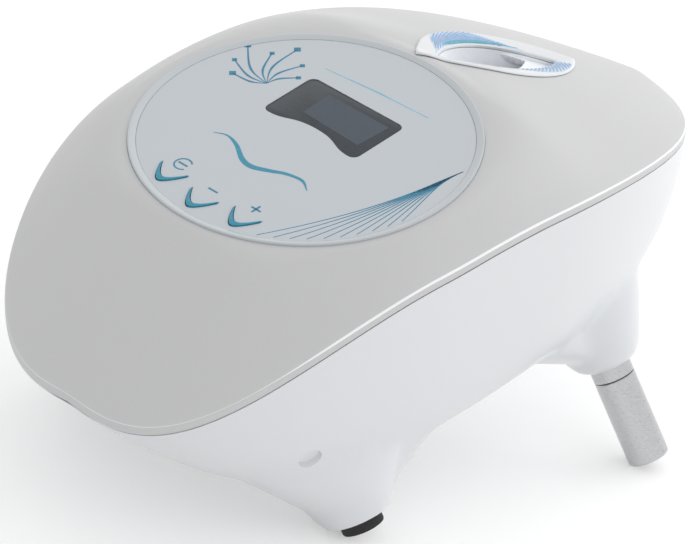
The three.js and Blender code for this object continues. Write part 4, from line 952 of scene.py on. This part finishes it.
def make_ledge():
    """Ledge in the mouth, on its right and rear, that the handpiece leans on."""
    size = np.array(MOUTH) + LEDGE["wider"]
    tops = [lens_ring(size, lambda x, y: top_height(x, y) + UNDER - LEDGE["sink"] + GAP - drop)
            for drop in (0, LEDGE["thickness"])]
    middle = [(0, CRADLE_Y, float(ring[:, 2].mean())) for ring in tops]
    ledge = skin("cradle_ledge", tops, *middle)
    shift = Matrix.Rotation(CRADLE_TURN, 4, "Z") @ Vector((-LEDGE["across"], -LEDGE["run"], 0))
    bite = lens_cutter(size)
    bite.data.transform(PANEL_MM @ Matrix.Translation(shift) @ PANEL_MM.inverted())
    carve(ledge, bite)
    rounded(ledge, LEDGE["edge"], 3)
    dress(ledge, WHITE_WITH_PAINTED_LIGHT, "housing")


def swell(run, runs, narrowing):
    """Share of its full width that a band has at a run."""
    start, end, full, narrows = runs
    return float(smooth(start, full, run) * (1 - narrowing * smooth(narrows, end, run)))


def wing_reach(side, run):
    """How far out on the bezel a wing reaches at a run."""
    return WING_BASE + WING_WIDTH * max(WING_THIN, swell(run, WINGS[side][2], WING_NARROWING))


def band(name, side, runs, shares, place, rise, ink):
    """Thin sheet on the bezel over runs along it, each crossed at shares of the band's width."""
    x, y = np.array([bezel_point(side, run, place(run, t)) for run in runs for t in shares]).T
    points = [(a, b, c - drop) for drop in (0, 2 * INK) for a, b, c in zip(x, y, bezel_height(x, y) + rise)]
    index, count = np.arange(len(x)).reshape(len(runs), -1), len(x)
    cells = np.stack([index[:-1, :-1], index[:-1, 1:], index[1:, 1:], index[1:, :-1]], -1).reshape(-1, 4)
    border = [*index[0], *index[1:, -1], *index[-1, -2::-1], *index[-2:0:-1, 0]]
    faces = [*cells, *(count + cells[:, ::-1]), *belt(border, count)]
    dress(new_object(name, points, faces), ink, "housing")


def stripe_share(run, t):
    return STRIPE_MIDDLE + STRIPE_WIDTH * t * swell(run, STRIPE_RUNS, STRIPE_NARROWING)


def make_wings():
    """Two hatched bands on the bezel, and a darker stripe on the far side of the mouth."""
    for side, (name, slant, (start, end, _, _)) in WINGS.items():
        band(f"bezel_wing_{name}", side, np.linspace(start, end, 60), np.linspace(0, 1, 12),
             lambda run, t: WING_BASE + (wing_reach(side, run) - WING_BASE) * t, WING_RISE, WING)
        lines = []
        for low in np.arange(start - 0.5, end + 0.5, HATCH_PITCH):
            places = [(low + slant * (t - 0.5), WING_BASE + WING_WIDTH * t) for t in np.linspace(0, 1, 28)]
            kept = [bezel_point(side, run, share) for run, share in places
                    if start + HATCH_MARGIN < run < end - HATCH_END
                    and share < wing_reach(side, run) - HATCH_MARGIN]
            if len(kept) > HATCH_LEAST:
                lines.append(stroke("hatch", kept, HATCH_WIDTHS, HATCH,
                                    lambda x, y: bezel_height(x, y) + HATCH_RISE))
        merged(f"bezel_hatch_{name}", lines)
    band("bezel_stripe", -1, np.linspace(*STRIPE_RUNS[:2], 60), np.linspace(-0.5, 0.5, 4), stripe_share,
         STRIPE_RISE, TEAL_PALE)


# Legs: turned pieces, cut flat where they stand

PAD_BORE, PAD_HOLLOW, PAD_TOP, SCREW_BORE = 3.45, 2.45, 0.7, 1.95
STUD_BORE, STUD_END, PLUG_BORE, PLUG_DEPTH = 4.25, -22.6, 5.25, 3.9

# Rounded lower edges: how far in from the leg's radius, and how far up
PAD_EDGE = [(0.7, 0), (0.2, 0.2), (0, 0.7)]
TUBE_EDGE = [(1.2, 0), (0.6, 0.17), (0.2, 0.55), (0, 1.2)]
COLLAR_EDGE = 0.25


def stand_cut(piece):
    """Cut off what reaches below the ground."""
    shape = bmesh.new()
    shape.from_mesh(piece.data)
    everything = shape.verts[:] + shape.edges[:] + shape.faces[:]
    cut = bmesh.ops.bisect_plane(shape, geom=everything, plane_co=(0, 0, 0), plane_no=(0, 0, -1),
                                 clear_outer=True)
    edges = [g for g in cut["geom_cut"] if isinstance(g, bmesh.types.BMEdge)]
    bmesh.ops.holes_fill(shape, edges=edges, sides=0)
    shape.to_mesh(piece.data)
    shape.free()
    finish_mesh(piece)
    return piece


def make_legs():
    for sign, leg, place in leg_places:
        hand = "left" if sign < 0 else "right"
        if leg is FRONT_LEG:
            low, top = -PAD_STAND, FOOT_TRIM + PAD_TOP
            roof = low + PAD_HOLLOW
            profile = [(PAD_BORE, roof), (PAD_BORE, low)]
            profile += [(LEG_RADIUS - inset, low + rise) for inset, rise in PAD_EDGE]
            profile += [(LEG_RADIUS, top), (SCREW_BORE, top), (SCREW_BORE, roof)]
            pad = stand_cut(lathe(f"foot_pad_{hand}", profile, place))
            dress(pad, RUBBER, "housing", f"front_foot_pad_{hand}")
            continue
        slim = LEG_RADIUS - COLLAR_EDGE
        collar = [(STUD_BORE, -GAP), (STUD_BORE, -COLLAR_HEIGHT), (slim, -COLLAR_HEIGHT),
                  (LEG_RADIUS, -COLLAR_HEIGHT + COLLAR_EDGE), (LEG_RADIUS, -GAP - COLLAR_EDGE), (slim, -GAP)]
        dress(lathe(f"leg_collar_{hand}", collar, place), ALUMINIUM, "housing", f"rear_leg_collar_{hand}")
        top, end = -COLLAR_HEIGHT - GAP, -TUBE_STAND
        tube = [(STUD_BORE, top), (STUD_BORE, STUD_END), (PLUG_BORE, end + PLUG_DEPTH), (PLUG_BORE, end)]
        tube += [(LEG_RADIUS - inset, end + rise) for inset, rise in TUBE_EDGE]
        tube += [(LEG_RADIUS, top - GAP), (LEG_RADIUS - GAP, top)]
        body = stand_cut(lathe(f"leg_tube_{hand}", tube, place))
        dress(body, ALUMINIUM, f"rear_leg_{hand}", f"rear_leg_tube_{hand}")


def make_jack():
    # The socket's white is painted lighter: painted light in its bore
    dress(lathe("jack_socket", JACK_SOCKET, JACK, 64), WHITE_WITH_PAINTED_LIGHT, "housing", "handpiece_jack")


# Stage and camera

FLOOR_REACH, FLOOR_WHITE, FLOOR_ROUGHNESS, FLOOR_GLOW = 6.0, (0.97, 0.97, 0.97, 1), 0.9, 0.4

# Room light: colour, strong side, and levels on the far side and on that one
ROOM_WHITE, ROOM_SIDE, ROOM_LEVELS = (0.99, 0.993, 1.0, 1), Vector((0.35, 0.85, 0.4)), (0.72, 1.2)
BACKDROP = (1, 1, 1, 1)

# Lamps: place, aim, size and power
LAMPS = {
    "sky": ((0.2, 1.7, 1.0), (0, 0, 0.1), (1.6, 1.2), 14),
    "side": ((1.7, 0.4, 0.6), (0, 0, 0.08), (1.4, 1.0), 1),
}

# Camera in the panel's frame: distance, how far right and up the panel's centre lies in the view, and
# the axes to the right, up and back
CAMERA_DISTANCE, CAMERA_SHIFT = 1488.0, (-14.9, 47.9)
CAMERA_AXES = [Vector(axis) for axis in ((0.72991, 0.68352, 0.00486), (-0.42343, 0.44657, 0.78821),
                                         (0.53659, -0.57739, 0.61538))]
SENSOR_WIDTH, FOCAL_LENGTH, CLIP_END = 36, 216.55, 50


def seen_rays(tree):
    """One for rays from the camera or passed on by metal or glass, else zero."""
    paths = add_node(tree, "LightPath")
    total = paths.outputs["Is Camera Ray"]
    for kind in ("Is Glossy Ray", "Is Transmission Ray"):
        larger = add_node(tree, "Math", operation="MAXIMUM")
        tree.links.new(total, larger.inputs[0])
        tree.links.new(paths.outputs[kind], larger.inputs[1])
        total = larger.outputs["Value"]
    return total


def mix_to(tree, output, share, first, second):
    """Mix two shaders and send them to an output node."""
    blend = add_node(tree, "MixShader")
    for socket, source in (("Fac", share), (1, first), (2, second)):
        tree.links.new(source, blend.inputs[socket])
    tree.links.new(blend.outputs["Shader"], tree.nodes[output].inputs["Surface"])


def make_floor():
    corners = [(x * FLOOR_REACH, y * FLOOR_REACH, 0) for x, y in ((-1, -1), (1, -1), (1, 1), (-1, 1))]
    floor = bpy.data.meshes.new("floor")
    floor.from_pydata(corners, [], [(0, 1, 2, 3)])
    ground = bpy.data.objects.new("floor", floor)
    collection.objects.link(ground)
    finish = bpy.data.materials.new("floor_white")
    finish.use_nodes = True
    tree = finish.node_tree
    shader = tree.nodes["Principled BSDF"]
    set_inputs(shader, {"Base Color": FLOOR_WHITE, "Roughness": FLOOR_ROUGHNESS})
    # The camera sees the floor part way to the white of the backdrop; its shadow stays
    glow = add_node(tree, "Emission")
    part = add_node(tree, "Math", {1: FLOOR_GLOW}, "MULTIPLY")
    tree.links.new(seen_rays(tree), part.inputs[0])
    mix_to(tree, "Material Output", part.outputs["Value"], shader.outputs["BSDF"], glow.outputs["Emission"])
    floor.materials.append(finish)


def make_room():
    """Light all round, stronger on one side, and a plain backdrop."""
    world = bpy.data.worlds.new("studio")
    bpy.context.scene.world = world
    world.use_nodes = True
    tree = world.node_tree
    soft = tree.nodes["Background"]
    set_inputs(soft, {"Color": ROOM_WHITE})
    sky = add_node(tree, "TexCoord")
    along = add_node(tree, "VectorMath", {1: ROOM_SIDE.normalized()}, "DOT_PRODUCT")
    level = add_node(tree, "MapRange", {"From Min": -1, "To Min": ROOM_LEVELS[0], "To Max": ROOM_LEVELS[1]})
    plain = add_node(tree, "Background", {"Color": BACKDROP})
    wire(tree, (sky, "Generated", along, 0), (along, "Value", level, "Value"),
         (level, "Result", soft, "Strength"))
    mix_to(tree, "World Output", seen_rays(tree), soft.outputs["Background"], plain.outputs["Background"])


def make_lamps():
    for name, (place, aim, size, power) in LAMPS.items():
        light = bpy.data.lights.new(name, "AREA")
        light.shape = "RECTANGLE"
        light.size, light.size_y = size
        light.energy = power
        holder = bpy.data.objects.new(name, light)
        holder.visible_glossy = False
        holder.location = place
        holder.rotation_euler = (Vector(aim) - Vector(place)).to_track_quat("-Z", "Y").to_euler()
        collection.objects.link(holder)


def make_camera():
    right, up, back = CAMERA_AXES
    place = back * CAMERA_DISTANCE - right * CAMERA_SHIFT[0] - up * CAMERA_SHIFT[1]
    lens = bpy.data.cameras.new("camera")
    lens.sensor_width = SENSOR_WIDTH
    lens.lens = FOCAL_LENGTH
    lens.clip_end = CLIP_END
    holder = bpy.data.objects.new("camera", lens)
    basis = Matrix(CAMERA_AXES).transposed().to_4x4()
    turned = (PANEL @ basis).to_3x3().normalized().to_4x4()
    holder.matrix_world = Matrix.Translation(PANEL_MM @ place) @ turned
    collection.objects.link(holder)
    bpy.context.scene.camera = holder


make_camera()
make_floor()
make_room()
make_lamps()
make_cover()
make_lower_shell()
make_panel()
make_prints()
make_cradle()
make_legs()
make_jack()

bpy.context.scene.view_settings.view_transform = "Standard"
